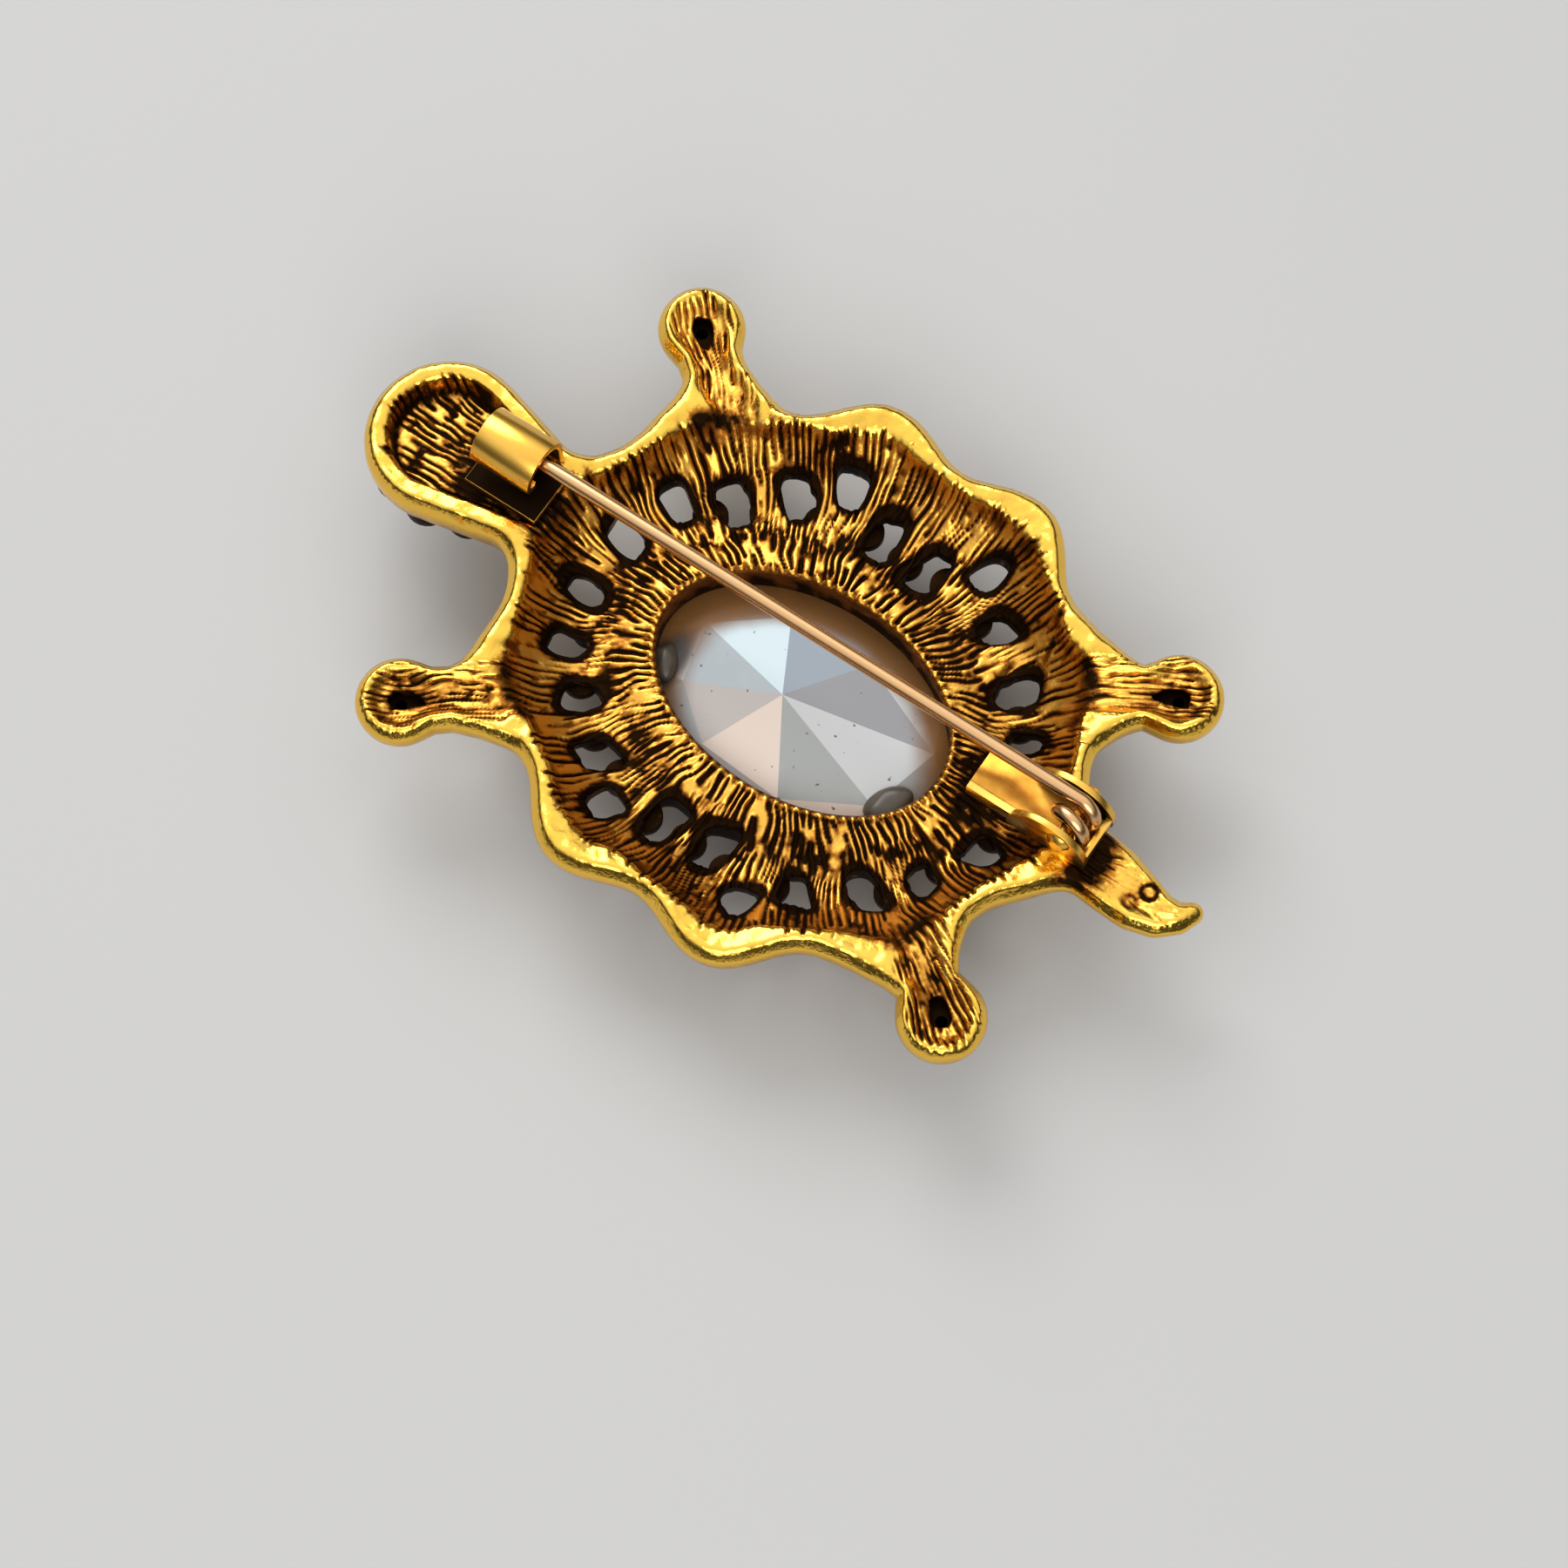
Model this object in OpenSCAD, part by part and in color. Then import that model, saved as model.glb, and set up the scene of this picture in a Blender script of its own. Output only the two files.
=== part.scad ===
// Turtle brooch lying face down, as it is seen from the back.
// A cast openwork shell carries one large oval stone, small stones on its front,
// and a sprung pin with its riveted hinge and its rolled catch on the back.
// The origin is the middle of the large stone's table, +Z comes out of the back
// and +X runs from the head to the tail.

/* [Large stone] */
// Length of the oval stone over its girdle
stone_l = 25; // [22:0.5:27]
// Width of the oval stone over its girdle
stone_w = 18; // [16:0.5:19]
// Length of the flat table on its front
table_l = 15; // [10:0.5:18]
// Width of the flat table on its front
table_w = 9.6; // [7:0.2:12]
// Height of the straight edge round the table
table_edge = 0.1; // [0.05:0.05:0.2]
// Height of the crown, from the table to the girdle
crown_h = 2.8; // [2.4:0.1:3.2]
// Height of the girdle band
girdle_h = 0.6; // [0.4:0.1:0.8]
// Height of the small facets between the girdle and the eight main facets
break_h = 1; // [0.7:0.1:1.2]
// Height of the eight main back facets up to the point
point_h = 1.3; // [0.8:0.1:1.6]
// How far the point lies off the middle, towards the head
point_off_x = 1.1; // [0:0.1:1.5]
// How far the point lies off the middle, to the side
point_off_y = 0.7; // [0:0.1:1]
// Length over the outline of the eight main back facets
main_facet_l = 18.6; // [16:0.2:19]
// Width over the outline of the eight main back facets
main_facet_w = 12.6; // [10:0.2:13]

/* [Stone setting] */
// Width of the ledge that the stone lies against, round the oval opening
ledge_w = 1.65; // [1.2:0.05:2]
// Width of the raised collar round that opening
collar_w = 1.4; // [1:0.1:1.8]
// Height of the collar's back edge above the table
collar_z = 6.4; // [6:0.1:7]
// Thickness of the bezel round the girdle
bezel_wall = 0.9; // [0.6:0.1:1.2]
// Height of the bezel's front edge above the table
bezel_z = 1.8; // [1.5:0.1:2.2]
// Width of the smaller drop of cement
cement_d = 2.2; // [1.6:0.2:2.6]

/* [Shell] */
// Length of the shell without head and tail, before its scallops
shell_l = 43.6; // [42:0.2:46]
// Width of the shell without feet, before its scallops
shell_w = 38.2; // [37:0.2:40]
// How far the scalloped edge swings out and in
scallop = 1.05; // [0.6:0.05:1.3]
// How much the shell draws in towards the tail
tail_taper = 0.9; // [0.4:0.1:1.2]
// Width of the polished rim band on the scallops
rim_w = 2.1; // [1.8:0.1:2.4]
// Width of the rim band between the scallops
rim_narrow = 1.4; // [1.2:0.1:1.7]
// Height of the rim's outer wall
rim_h = 3.4; // [3:0.1:4]
// How far the rim's wall swells out below the crest
rim_bulge = 0.4; // [0:0.1:0.6]
// Height of the rim's crest above the table
rim_z = 9.7; // [9.2:0.1:10.2]
// Height of the hollow back at its deepest
valley_z = 5.7; // [5.5:0.1:6.2]
// Height of the radial ribs on the hollow back
rib_h = 0.4; // [0.2:0.05:0.5]
// Length of the longest openwork window
window_l = 4.2; // [3.4:0.1:4.4]
// Width of the widest openwork window
window_w = 2.7; // [2:0.1:2.8]

/* [Head] */
// Distance from the shell's edge to the middle of the head
neck_l = 6.6; // [6:0.1:7.6]
// Diameter of the head
head_d = 11.4; // [10.5:0.1:12]
// Width of the neck
neck_w = 6.8; // [6.2:0.1:7.4]
// Height of the head's crest above the table
head_z = 10; // [9.6:0.1:10.4]
// Thickness of the head
head_h = 3.8; // [3.4:0.1:4.4]
// Width of the head's rim band
head_rim_w = 1.4; // [1.2:0.1:2]
// Rounding of the head's edges
head_round = 0.7; // [0.4:0.1:1]
// Depth of the hollow behind the head
head_hollow = 1.9; // [1.4:0.1:2.2]

/* [Feet] */
// Diameter of each foot
foot_d = 6; // [5.4:0.1:6.6]
// Width of each leg at its narrowest
ankle_w = 4.4; // [3.8:0.1:5]
// Thickness of each foot
foot_h = 3.2; // [3:0.1:3.8]
// Height of a foot's back above the table
foot_z = 9.6; // [9.2:0.1:10]
// Front legs, distance from the shell's edge to the middle of the foot
front_leg_l = 5.1; // [4.6:0.1:5.8]
// Front legs, angle from the head
front_leg_angle = 39.2; // [37:0.1:41]
// Hind legs, distance from the shell's edge to the middle of the foot
hind_leg_l = 3.8; // [3.4:0.1:4.4]
// Hind legs, angle from the tail
hind_leg_angle = 33; // [31:0.1:35]
// Diameter of the hole behind each foot stone
foot_hole_d = 1.7; // [1.2:0.1:2]
// Depth of the hollow along the back of each leg
leg_hollow = 0.7; // [0.5:0.1:1]
// Width of the edge beside that hollow
leg_edge = 0.9; // [0.8:0.1:1.3]

/* [Tail] */
// Length of the tail past the shell's edge
tail_l = 8.2; // [7.6:0.1:9.4]
// Width of the tail
tail_w = 4.4; // [4:0.1:5]
// Thickness of the tail
tail_h = 2.6; // [2.4:0.1:3]
// How far the tip curls to the side
tail_curl = 1.6; // [0.6:0.1:2]

/* [Small stones] */
// Diameter of each stone on the shell
shell_stone_d = 1.6; // [1.4:0.1:1.8]
// Diameter of each stone on the head
head_stone_d = 2.2; // [1.8:0.1:2.3]
// Diameter of each stone on the feet
foot_stone_d = 3; // [2.4:0.1:3.4]
// Diameter of the stone on the tail
tail_stone_d = 2; // [1.6:0.1:2.4]
// Wall of the cup round each small stone
cup_wall = 0.3; // [0.25:0.05:0.4]
// Room between a small stone and its cup
stone_gap = 0.04; // [0.02:0.01:0.06]

/* [Hinge] */
// Distance from the shell's edge at the tail in to the rivet
hinge_in = 1.45; // [1:0.05:1.8]
// Middle of the hinge to the side
hinge_y = 1.7; // [1.2:0.1:2.2]
// Height of the pads that carry the hinge and the catch
pad_z = 9.2; // [9:0.1:9.6]
// Thickness of the hinge's sheet metal
hinge_sheet = 0.45; // [0.4:0.05:0.55]
// Length of the hinge's base from its front edge to the rivet
hinge_front = 7.3; // [6.5:0.1:8]
// Length of the hinge's base behind the rivet
hinge_back = 2; // [1.9:0.1:2.4]
// Radius of the round ears
ear_r = 3; // [2.9:0.1:3.3]
// Height of the lip across the back of the base
hinge_lip = 0.7; // [0.4:0.1:0.9]
// Depth of the flanges under the front of the base
hinge_flange = 0.7; // [0.4:0.1:1]
// Diameter of the rivet
rivet_d = 1; // [0.8:0.05:1.1]
// Diameter of the rivet's heads
rivet_head_d = 1.7; // [1.5:0.1:1.9]
// Height of the rivet's heads
rivet_head_h = 0.35; // [0.25:0.05:0.5]

/* [Pin] */
// Diameter of the pin's stem
wire_d = 1.06; // [0.9:0.02:1.14]
// Diameter of the wire in the coil
coil_wire_d = 1; // [0.8:0.02:1.04]
// Free room between the turns of the coil
turn_gap = 0.45; // [0.42:0.01:0.6]
// Turns of the coil
coil_turns = 1.25; // [1.25:0.05:1.4]
// Room round the rivet inside the coil, and under the coil
coil_gap = 0.12; // [0.1:0.01:0.2]
// Length of the tapered shank between the coil and the stem
shank_l = 5; // [4:0.1:6]
// Length of the ground point
point_l = 7; // [4:0.5:10]
// Angle between the pin and the length of the brooch
pin_skew = 2; // [1:0.1:2.5]

/* [Catch] */
// Distance from the middle of the head back to the catch's far end
catch_in = 2.8; // [2.4:0.1:3.6]
// Length of the rolled catch
catch_l = 4.7; // [4:0.1:5]
// Width of the roll
catch_w = 4.1; // [3.8:0.1:4.4]
// Thickness of the catch's sheet metal
catch_sheet = 0.45; // [0.35:0.05:0.55]
// How far the catch's foot reaches out beside the roll
catch_foot = 0.8; // [0.5:0.1:1.2]
// How far the catch's foot reaches out past the roll's open end
catch_tongue = 1; // [0.6:0.1:1.4]
// Free height under the lip, where the pin slips in
catch_mouth = 1.3; // [1.2:0.05:1.5]
// Room between the pin and the roof of the roll
catch_gap = 0.2; // [0.15:0.05:0.3]
// How far the roll reaches past the pin's tip
tip_cover = 0.8; // [0.5:0.1:1.2]

/* [Hidden] */
$fn = 48;
cut = 0.5;                  // how far a cutting shape reaches past a face
hinge_root = 0.2;           // height of the hinge pad's root over the rim's low edge
catch_root = 0.6;           // height of the catch pad's root over the head's low edge
hinge_free = 0.3;           // room cut in the casting round the hinge base
catch_free = 0.1;           // room cut in the casting round the catch
sections = 100;             // cross-sections round the shell, on and between its ribs
scallop_count = 10;         // scallops round the edge, at head, tail, feet and flanks
girdle_points = 32;         // corners of the large stone's girdle
main_facets = 8;            // main facets on the back of the large stone
gem_points = 8;             // corners of a small stone's girdle
coil_rings = 24;            // rings for each turn of the coil
coil_sides = 8;             // sides of the coil's wire
limb_sides = 14;            // sides of a leg or the tail

opening_l = stone_l - 2 * ledge_w;
opening_w = stone_w - 2 * ledge_w;
girdle_z = crown_h + girdle_h;
break_z = girdle_z + break_h;
point_z = break_z + point_h;

// Windows on one side: angle from the tail, place between the collar (0) and the
// rim (1), and shares of window_l and window_w. The other side mirrors them.
windows = [
    [7, 0.6, 0.75, 0.9], [23, 0.62, 0.65, 0.8], [37, 0.44, 0.85, 1], [56, 0.64, 0.75, 0.95],
    [70, 0.7, 0.75, 0.9], [83, 0.46, 1, 1], [100, 0.48, 1, 1], [113, 0.7, 0.75, 0.95],
    [127, 0.66, 0.8, 1], [144, 0.46, 0.85, 1], [157, 0.68, 0.75, 0.85], [172, 0.58, 0.85, 0.95]
];

// Stones on the head, as shares of its radius to the front and to the side.
head_stones = [
    [0.68, 0], [0.32, 0.6], [0.32, -0.6], [-0.16, 0.66], [-0.16, -0.66], [-0.66, 0.5], [-0.66, -0.5]
];
feet = ["front_left", "front_right", "hind_left", "hind_right"];

// Places along the tail: share of its length and of tail_curl, half tail_w and tail_h.
tail_steps = [
    [-0.1, 0, 1.15, 1], [0.2, 0, 1.02, 1], [0.45, -0.1, 1, 1], [0.65, -0.3, 0.86, 0.95],
    [0.8, -0.3, 0.64, 0.85], [0.92, 0.05, 0.42, 0.7], [0.99, 0.65, 0.24, 0.5], [1, 1, 0.08, 0.2]
];
// Places along a foot: share of its radius past the middle, and share of that radius.
foot_steps = [[-0.45, 0.9], [0, 1], [0.4, 0.92], [0.7, 0.7], [0.92, 0.38], [1, 0.1]];
tail_stone_at = 0.55;

function oval(a, rx, ry) = rx * ry / sqrt(pow(ry * cos(a), 2) + pow(rx * sin(a), 2));
function mix(a, b, t) = a + (b - a) * t;
function polar(r, a) = [r * cos(a), r * sin(a)];

// Plan of the shell: the opening, the collar, the bezel and the scalloped edge.
function opening_r(a) = oval(a, opening_l / 2, opening_w / 2);
function collar_r(a) = opening_r(a) + collar_w;
function bezel_r(a) = oval(a, stone_l / 2 + bezel_wall, stone_w / 2 + bezel_wall);
function edge_r(a) = oval(a, shell_l / 2, shell_w / 2) + scallop * cos(scallop_count * a)
    - tail_taper * pow(max(cos(a), 0), 2);
function rim_at(a) = mix(rim_narrow, rim_w, 0.5 + 0.5 * cos(scallop_count * a));
function band_r(a) = edge_r(a) - rim_at(a);

// Back and front of the shell, from the collar or bezel (u = 0) to the rim (u = 1).
valley_u = 0.4;
band_z = rim_z - 0.9;
rim_low_z = rim_z - rim_h;
bezel_base_z = bezel_z + 0.7;
function back_z(u) = u < valley_u
    ? valley_z + (collar_z - valley_z) * pow(1 - u / valley_u, 2)
    : valley_z + (band_z - valley_z) * pow((u - valley_u) / (1 - valley_u), 2);
function front_z(u) = mix(bezel_base_z, rim_low_z, pow(u, 0.7));
function shell_at(a, u) = polar(mix(collar_r(a), band_r(a), u), a);

// One cross-section as [radius, height] points: out along the back, in along the front.
// The back stands up on a rib (rise = 1) and lies down between two (rise = -1).
function section(a, rise) = concat(
    [[opening_r(a), collar_z]],
    [for (u = [0, 0.2, 0.4, 0.6, 0.8, 1])
        [mix(collar_r(a), band_r(a), u), back_z(u) + rise * rib_h / 2 * (u < 1 ? 1 : 0.5)]],
    [[edge_r(a) - 0.75 * rim_at(a), rim_z - 0.25],
     [edge_r(a) - 0.45 * rim_at(a), rim_z],
     [edge_r(a) - 0.15 * rim_at(a), rim_z - 0.4],
     [edge_r(a) + rim_bulge, rim_z - 0.5 * rim_h],
     [edge_r(a) + rim_bulge / 2, rim_z - 0.85 * rim_h]],
    [for (u = [0.97, 0.7, 0.4, 0]) [mix(bezel_r(a), edge_r(a), u), front_z(u)]],
    [[bezel_r(a), bezel_z], [opening_r(a), bezel_z]]
);

// Closed skin over rings of points, with flat ends or joined round to a loop.
function skin_sides(rings, n, loop) = [
    for (k = [0 : rings - (loop ? 1 : 2)], i = [0 : n - 1])
        let (m = (k + 1) % rings, j = (i + 1) % n)
        each [[k * n + i, m * n + i, m * n + j], [k * n + i, m * n + j, k * n + j]]
];
function skin_ends(rings, n) = [
    [for (i = [0 : n - 1]) i],
    [for (i = [n - 1 : -1 : 0]) (rings - 1) * n + i]
];
module skin(rings, loop = false) {
    n = len(rings[0]);
    polyhedron(
        points = [for (ring = rings, p = ring) p],
        faces = concat(skin_sides(len(rings), n, loop), loop ? [] : skin_ends(len(rings), n))
    );
}

// Large stone: oval rings up to the girdle, small facets from there to the eight corners
// of the main facets, and those up to one point.
function oval_ring(l, w, z) = [
    for (i = [0 : girdle_points - 1])
        let (a = 360 * i / girdle_points) [l / 2 * cos(a), w / 2 * sin(a), z]
];
function facet_corner(k) = let (a = 360 * (k + 0.5) / main_facets)
    [main_facet_l / 2 * cos(a), main_facet_w / 2 * sin(a), break_z];
function back_faces(girdle, corner, point) = let (step = girdle_points / main_facets) [
    for (k = [0 : main_facets - 1])
        let (c = corner + k, d = corner + (k + 1) % main_facets)
        each concat(
            [[c, point, d], [girdle + (k + 1) * step % girdle_points, c, d]],
            [for (i = [k * step : (k + 1) * step - 1])
                [girdle + i, c, girdle + (i + 1) % girdle_points]]
        )
];
module stone_form(low_rings) {
    rings = concat(low_rings, [oval_ring(stone_l, stone_w, girdle_z)]);
    count = len(rings) * girdle_points;
    corners = [for (k = [0 : main_facets - 1]) facet_corner(k)];
    tip = [-point_off_x, -point_off_y, point_z];
    polyhedron(
        points = concat([for (ring = rings, p = ring) p], corners, [tip]),
        faces = concat(
            skin_sides(len(rings), girdle_points, false),
            [[for (i = [0 : girdle_points - 1]) i]],
            back_faces(count - girdle_points, count, count + main_facets)
        )
    );
}

// Small stone on the front: its table faces down, its flat point lies at z = 0.
gem_back = 0.36;            // height of a small stone's back as a share of its diameter
gem_front = 0.3;            // height of its front, likewise
cup_share = 0.5;            // how far a cup reaches down past the stone's point, likewise
cup_root = 0.6;             // how far a cup reaches up into the casting
function gem_ring(r, z) = [
    for (i = [0 : gem_points - 1])
        [each polar(r, 360 * (i + 0.5) / gem_points), z]
];
module gem(d) {
    skin([
        gem_ring(0.28 * d, -(gem_back + gem_front) * d),
        gem_ring(0.5 * d, -gem_back * d),
        gem_ring(0.14 * d, 0)
    ]);
}
function cup_r(d) = d / 2 + stone_gap + cup_wall;
// Cup that rises from the front at height z down past the girdle, and the bore in it.
module cup(d, z) {
    translate([0, 0, z - cup_share * d])
        cylinder(h = cup_root + cup_share * d, r = cup_r(d), $fn = 10);
}
module cup_bore(d, z) {
    translate([0, 0, z - 2 * d]) rotate(180 / gem_points)
        cylinder(h = 2 * d, r = d / 2 + stone_gap, $fn = gem_points);
}

// Shell stones lie between neighbouring windows, and on the middle line at both ends.
window_angles = [for (w = windows) w[0]];
between = [for (i = [0 : len(windows) - 2]) (window_angles[i] + window_angles[i + 1]) / 2];
shell_stone_angles = concat(
    [0], between, [180],
    [for (i = [len(between) - 1 : -1 : 0]) -between[i]]
);
shell_stone_u = 0.46;       // place of a shell stone between collar and rim band
shell_seat = 0.3;           // how high a shell stone's point lies over the front, by its width
foot_seat = 0.42;           // likewise for the stone of a foot
function front_at(a, u) = let (r = mix(collar_r(a), band_r(a), u))
    front_z((r - bezel_r(a)) / (edge_r(a) - bezel_r(a)));
function shell_stone_place(i) = let (a = shell_stone_angles[i])
    [each shell_at(a, shell_stone_u), front_at(a, shell_stone_u) + shell_seat * shell_stone_d];

// Feet, the roots of the legs on the shell, and the line of the tail.
function leg_angle(i) = (i % 2 == 0 ? -1 : 1) * (i < 2 ? 180 - front_leg_angle : hind_leg_angle);
function foot_r(i) = edge_r(leg_angle(i)) + (i < 2 ? front_leg_l : hind_leg_l);
function foot_place(i) = polar(foot_r(i), leg_angle(i));
foot_mid_z = foot_z - foot_h / 2;
function foot_stone_place(i) = [each foot_place(i), foot_z - foot_h + foot_seat * foot_stone_d];
tail_root_x = band_r(0);
tail_x = edge_r(0) + tail_l;
tail_y = 0.8;               // the tail leaves the shell a little to one side
function tail_place(s) = [mix(tail_root_x, tail_x, s[0]), tail_y + tail_curl * s[1]];
tail_mid_z = rim_z - rim_h / 2;
tail_stone_place = [mix(tail_root_x, tail_x, tail_stone_at), tail_y - 0.3 * tail_curl,
    tail_mid_z - tail_h / 2 + gem_back * tail_stone_d];

head_x = edge_r(180) + neck_l;
head_r = head_d / 2;
head_low_z = head_z - head_h;
neck_x = edge_r(180) - rim_w / 2;
function head_stone_place(i) = [-head_x - head_r * head_stones[i][0], head_r * head_stones[i][1],
    head_low_z + gem_back * head_stone_d];

// Pin and hinge are drawn about the rivet, with the pin along -X of a skewed frame.
hinge_x = edge_r(0) - hinge_in;
pin_l = hinge_x + head_x - catch_in - tip_cover;
coil_pitch = coil_wire_d + turn_gap;
coil_r = rivet_d / 2 + coil_gap + coil_wire_d / 2;
coil_w = coil_pitch * coil_turns + coil_wire_d;
ear_gap = coil_w + 2 * coil_gap;
hinge_w = ear_gap + 2 * hinge_sheet;
axis_z = pad_z + hinge_sheet + coil_gap + coil_r + coil_wire_d / 2;
stem_y = coil_pitch * coil_turns / 2;
stem_z = axis_z + coil_r;
rivet_bore_gap = 0.02;      // room round the rivet in the ears
ear_mid = [-0.9, 0.5];      // middle of the round ears, from the rivet's foot on the pad
catch_end = -pin_l - tip_cover;
catch_in_r = catch_w / 2 - catch_sheet;
catch_roof = stem_z - pad_z + wire_d / 2 + catch_gap;
catch_mid_h = catch_roof - catch_in_r;
module findings() translate([hinge_x, hinge_y, 0]) rotate(pin_skew) children();

// Line of the coil's wire from the stem over the top, round the rivet and down.
function coil_point(t) = [coil_r * sin(360 * t), stem_y - coil_pitch * t, coil_r * cos(360 * t)];
function coil_ring(t) = let (p = coil_point(t), r = coil_wire_d / 2 - 0.01)
    [for (i = [0 : coil_sides - 1]) let (a = -360 * i / coil_sides)
        p + [r * cos(a) * sin(360 * t), r * sin(a), r * cos(a) * cos(360 * t)]];
coil_steps = ceil(coil_rings * coil_turns);
coil_line = [for (k = [0 : coil_steps]) coil_point(k * coil_turns / coil_steps)];
least_gap = min([for (i = [0 : coil_steps], j = [0 : coil_steps])
    if (j - i > coil_rings / 2) norm(coil_line[i] - coil_line[j])]) - coil_wire_d;
echo(coil_least_gap_mm = least_gap);

// Limb: oval rings along a line of [x, y, half width, share of the full height].
function limb_way(steps, i) = let (n = len(steps) - 1,
    d = steps[min(i + 1, n)] - steps[max(i - 1, 0)], v = [d[0], d[1]]) v / norm(v);
function limb_ring(steps, i, z, h) = let (s = steps[i], v = limb_way(steps, i))
    [for (k = [0 : limb_sides - 1]) let (a = 360 * (k + 0.5) / limb_sides)
        [s[0] - v[1] * s[2] * cos(a), s[1] + v[0] * s[2] * cos(a), z + h / 2 * s[3] * sin(a)]];
module limb(steps, z, h) skin([for (i = [0 : len(steps) - 1]) limb_ring(steps, i, z, h)]);
module slot_2d(l, w) hull() for (s = [-1, 1]) translate([s * (l - w) / 2, 0]) circle(d = w, $fn = 8);

// Openwork shell: the lofted ring without its windows.
module openwork() {
    difference() {
        skin([for (i = [0 : sections - 1]) let (a = 360 * i / sections)
            [for (p = section(a, i % 2 == 0 ? 1 : -1)) [each polar(p[0], a), p[1]]]], loop = true);
        for (w = windows, side = [-1, 1])
            let (l = window_l * w[2], b = window_w * w[3])
            translate(shell_at(side * w[0], w[1]))
                rotate(side * w[0])
                    linear_extrude(rim_z) slot_2d(max(l, b + 0.4), b);
    }
}

// Head: a rounded disc run into the neck, and the hollow that makes its rim.
module head_form() {
    hull() {
        translate([-head_x, 0, head_low_z]) cylinder(h = head_h, r = head_r - head_round, $fn = 32);
        translate([-head_x, 0, head_low_z + head_round])
            cylinder(h = head_h - 2 * head_round, r = head_r, $fn = 32);
        translate([-neck_x, 0, rim_low_z + head_round / 2])
            cylinder(h = rim_h - head_round, d = neck_w, $fn = 32);
    }
}
module head_hollow_cut() {
    hollow_r = head_r - head_rim_w;
    neck_r = neck_w / 2 - head_rim_w / 2;
    hull() {
        translate([-head_x, 0, head_z]) cylinder(h = cut, r = hollow_r, $fn = 32);
        translate([-head_x, 0, head_z - head_hollow]) cylinder(h = cut, r = hollow_r - 0.8, $fn = 32);
        translate([-band_r(180), 0, head_z]) cylinder(h = cut, r = neck_r, $fn = 16);
        translate([-band_r(180), 0, head_z - head_hollow]) cylinder(h = cut, r = neck_r - 0.5, $fn = 16);
    }
}
leg_flare = 0.8;            // how much wider than the ankle a leg is at its root, on each side
function leg_steps(i, edge, root_in) =
    let (a = leg_angle(i), r = foot_d / 2 - edge, half = ankle_w / 2 - edge,
         far = foot_r(i), ankle = mix(edge_r(a), far, 0.3))
    concat(
        [[each polar(band_r(a) + root_in * rim_w, a), half + leg_flare, 1],
         [each polar(ankle, a), half, 1]],
        [for (s = foot_steps) [each polar(far + r * s[0], a), r * s[1], pow(s[1], 0.7)]]
    );
module leg(i) limb(leg_steps(i, 0, 0.3), foot_mid_z, foot_h);
module leg_hollow_cut(i) limb(leg_steps(i, leg_edge, -0.5), foot_z, 2 * leg_hollow);
module tail_form() {
    steps = [for (s = tail_steps) [each tail_place(s), tail_w / 2 * s[2], s[3]]];
    limb(steps, tail_mid_z, tail_h);
}

// Pads under the hinge and the catch, and the room that is kept free above them.
hinge_pad_l = 4.6;         // length of the hinge's pad, ending at the back of its base
module hinge_pad(reach, z0, z1) {
    findings() translate([hinge_back - hinge_pad_l, -hinge_w / 2 - reach, z0])
        cube([hinge_pad_l + reach, hinge_w + 2 * reach, z1 - z0]);
}
module catch_pad(reach, z0, z1) {
    findings() translate([catch_end - reach, stem_y - catch_w / 2 - catch_foot - reach, z0])
        cube([catch_l + catch_tongue + 2 * reach, catch_w + catch_foot + 2 * reach, z1 - z0]);
}

// Casting with its cups, holes and hollows.
module cast_body() color("goldenrod") {
    difference() {
        union() {
            difference() {
                union() {
                    openwork();
                    head_form();
                    for (i = [0 : 3]) leg(i);
                    tail_form();
                }
                head_hollow_cut();
                for (i = [0 : 3]) leg_hollow_cut(i);
            }
            hinge_pad(0, rim_low_z + hinge_root, pad_z);
            catch_pad(0, head_low_z + catch_root, pad_z);
            for (i = [0 : len(shell_stone_angles) - 1]) let (p = shell_stone_place(i))
                translate([p[0], p[1], 0]) cup(shell_stone_d, p[2]);
            for (i = [0 : len(head_stones) - 1]) let (p = head_stone_place(i))
                translate([p[0], p[1], 0]) cup(head_stone_d, p[2]);
        }
        stone_form([oval_ring(stone_l, stone_w, bezel_z - cut)]);
        for (i = [0 : len(shell_stone_angles) - 1]) let (p = shell_stone_place(i))
            translate([p[0], p[1], 0]) cup_bore(shell_stone_d, p[2]);
        for (i = [0 : len(head_stones) - 1]) let (p = head_stone_place(i))
            translate([p[0], p[1], 0]) cup_bore(head_stone_d, p[2]);
        for (i = [0 : 3]) let (p = foot_stone_place(i)) translate([p[0], p[1], 0]) {
            cup_bore(foot_stone_d, p[2]);
            cylinder(h = foot_z + cut, d = foot_hole_d, $fn = 12);
        }
        translate([tail_stone_place[0], tail_stone_place[1], 0])
            cup_bore(tail_stone_d, tail_stone_place[2]);
        hinge_pad(hinge_free, pad_z, rim_z + cut);
        catch_pad(catch_free, pad_z, head_z + cut);
    }
}

module centre_stone() color("lightsteelblue") {
    linear_extrude(table_edge) polygon([for (p = oval_ring(table_l, table_w, 0)) [p[0], p[1]]]);
    stone_form([oval_ring(table_l, table_w, table_edge), oval_ring(stone_l, stone_w, crown_h)]);
}

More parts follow.
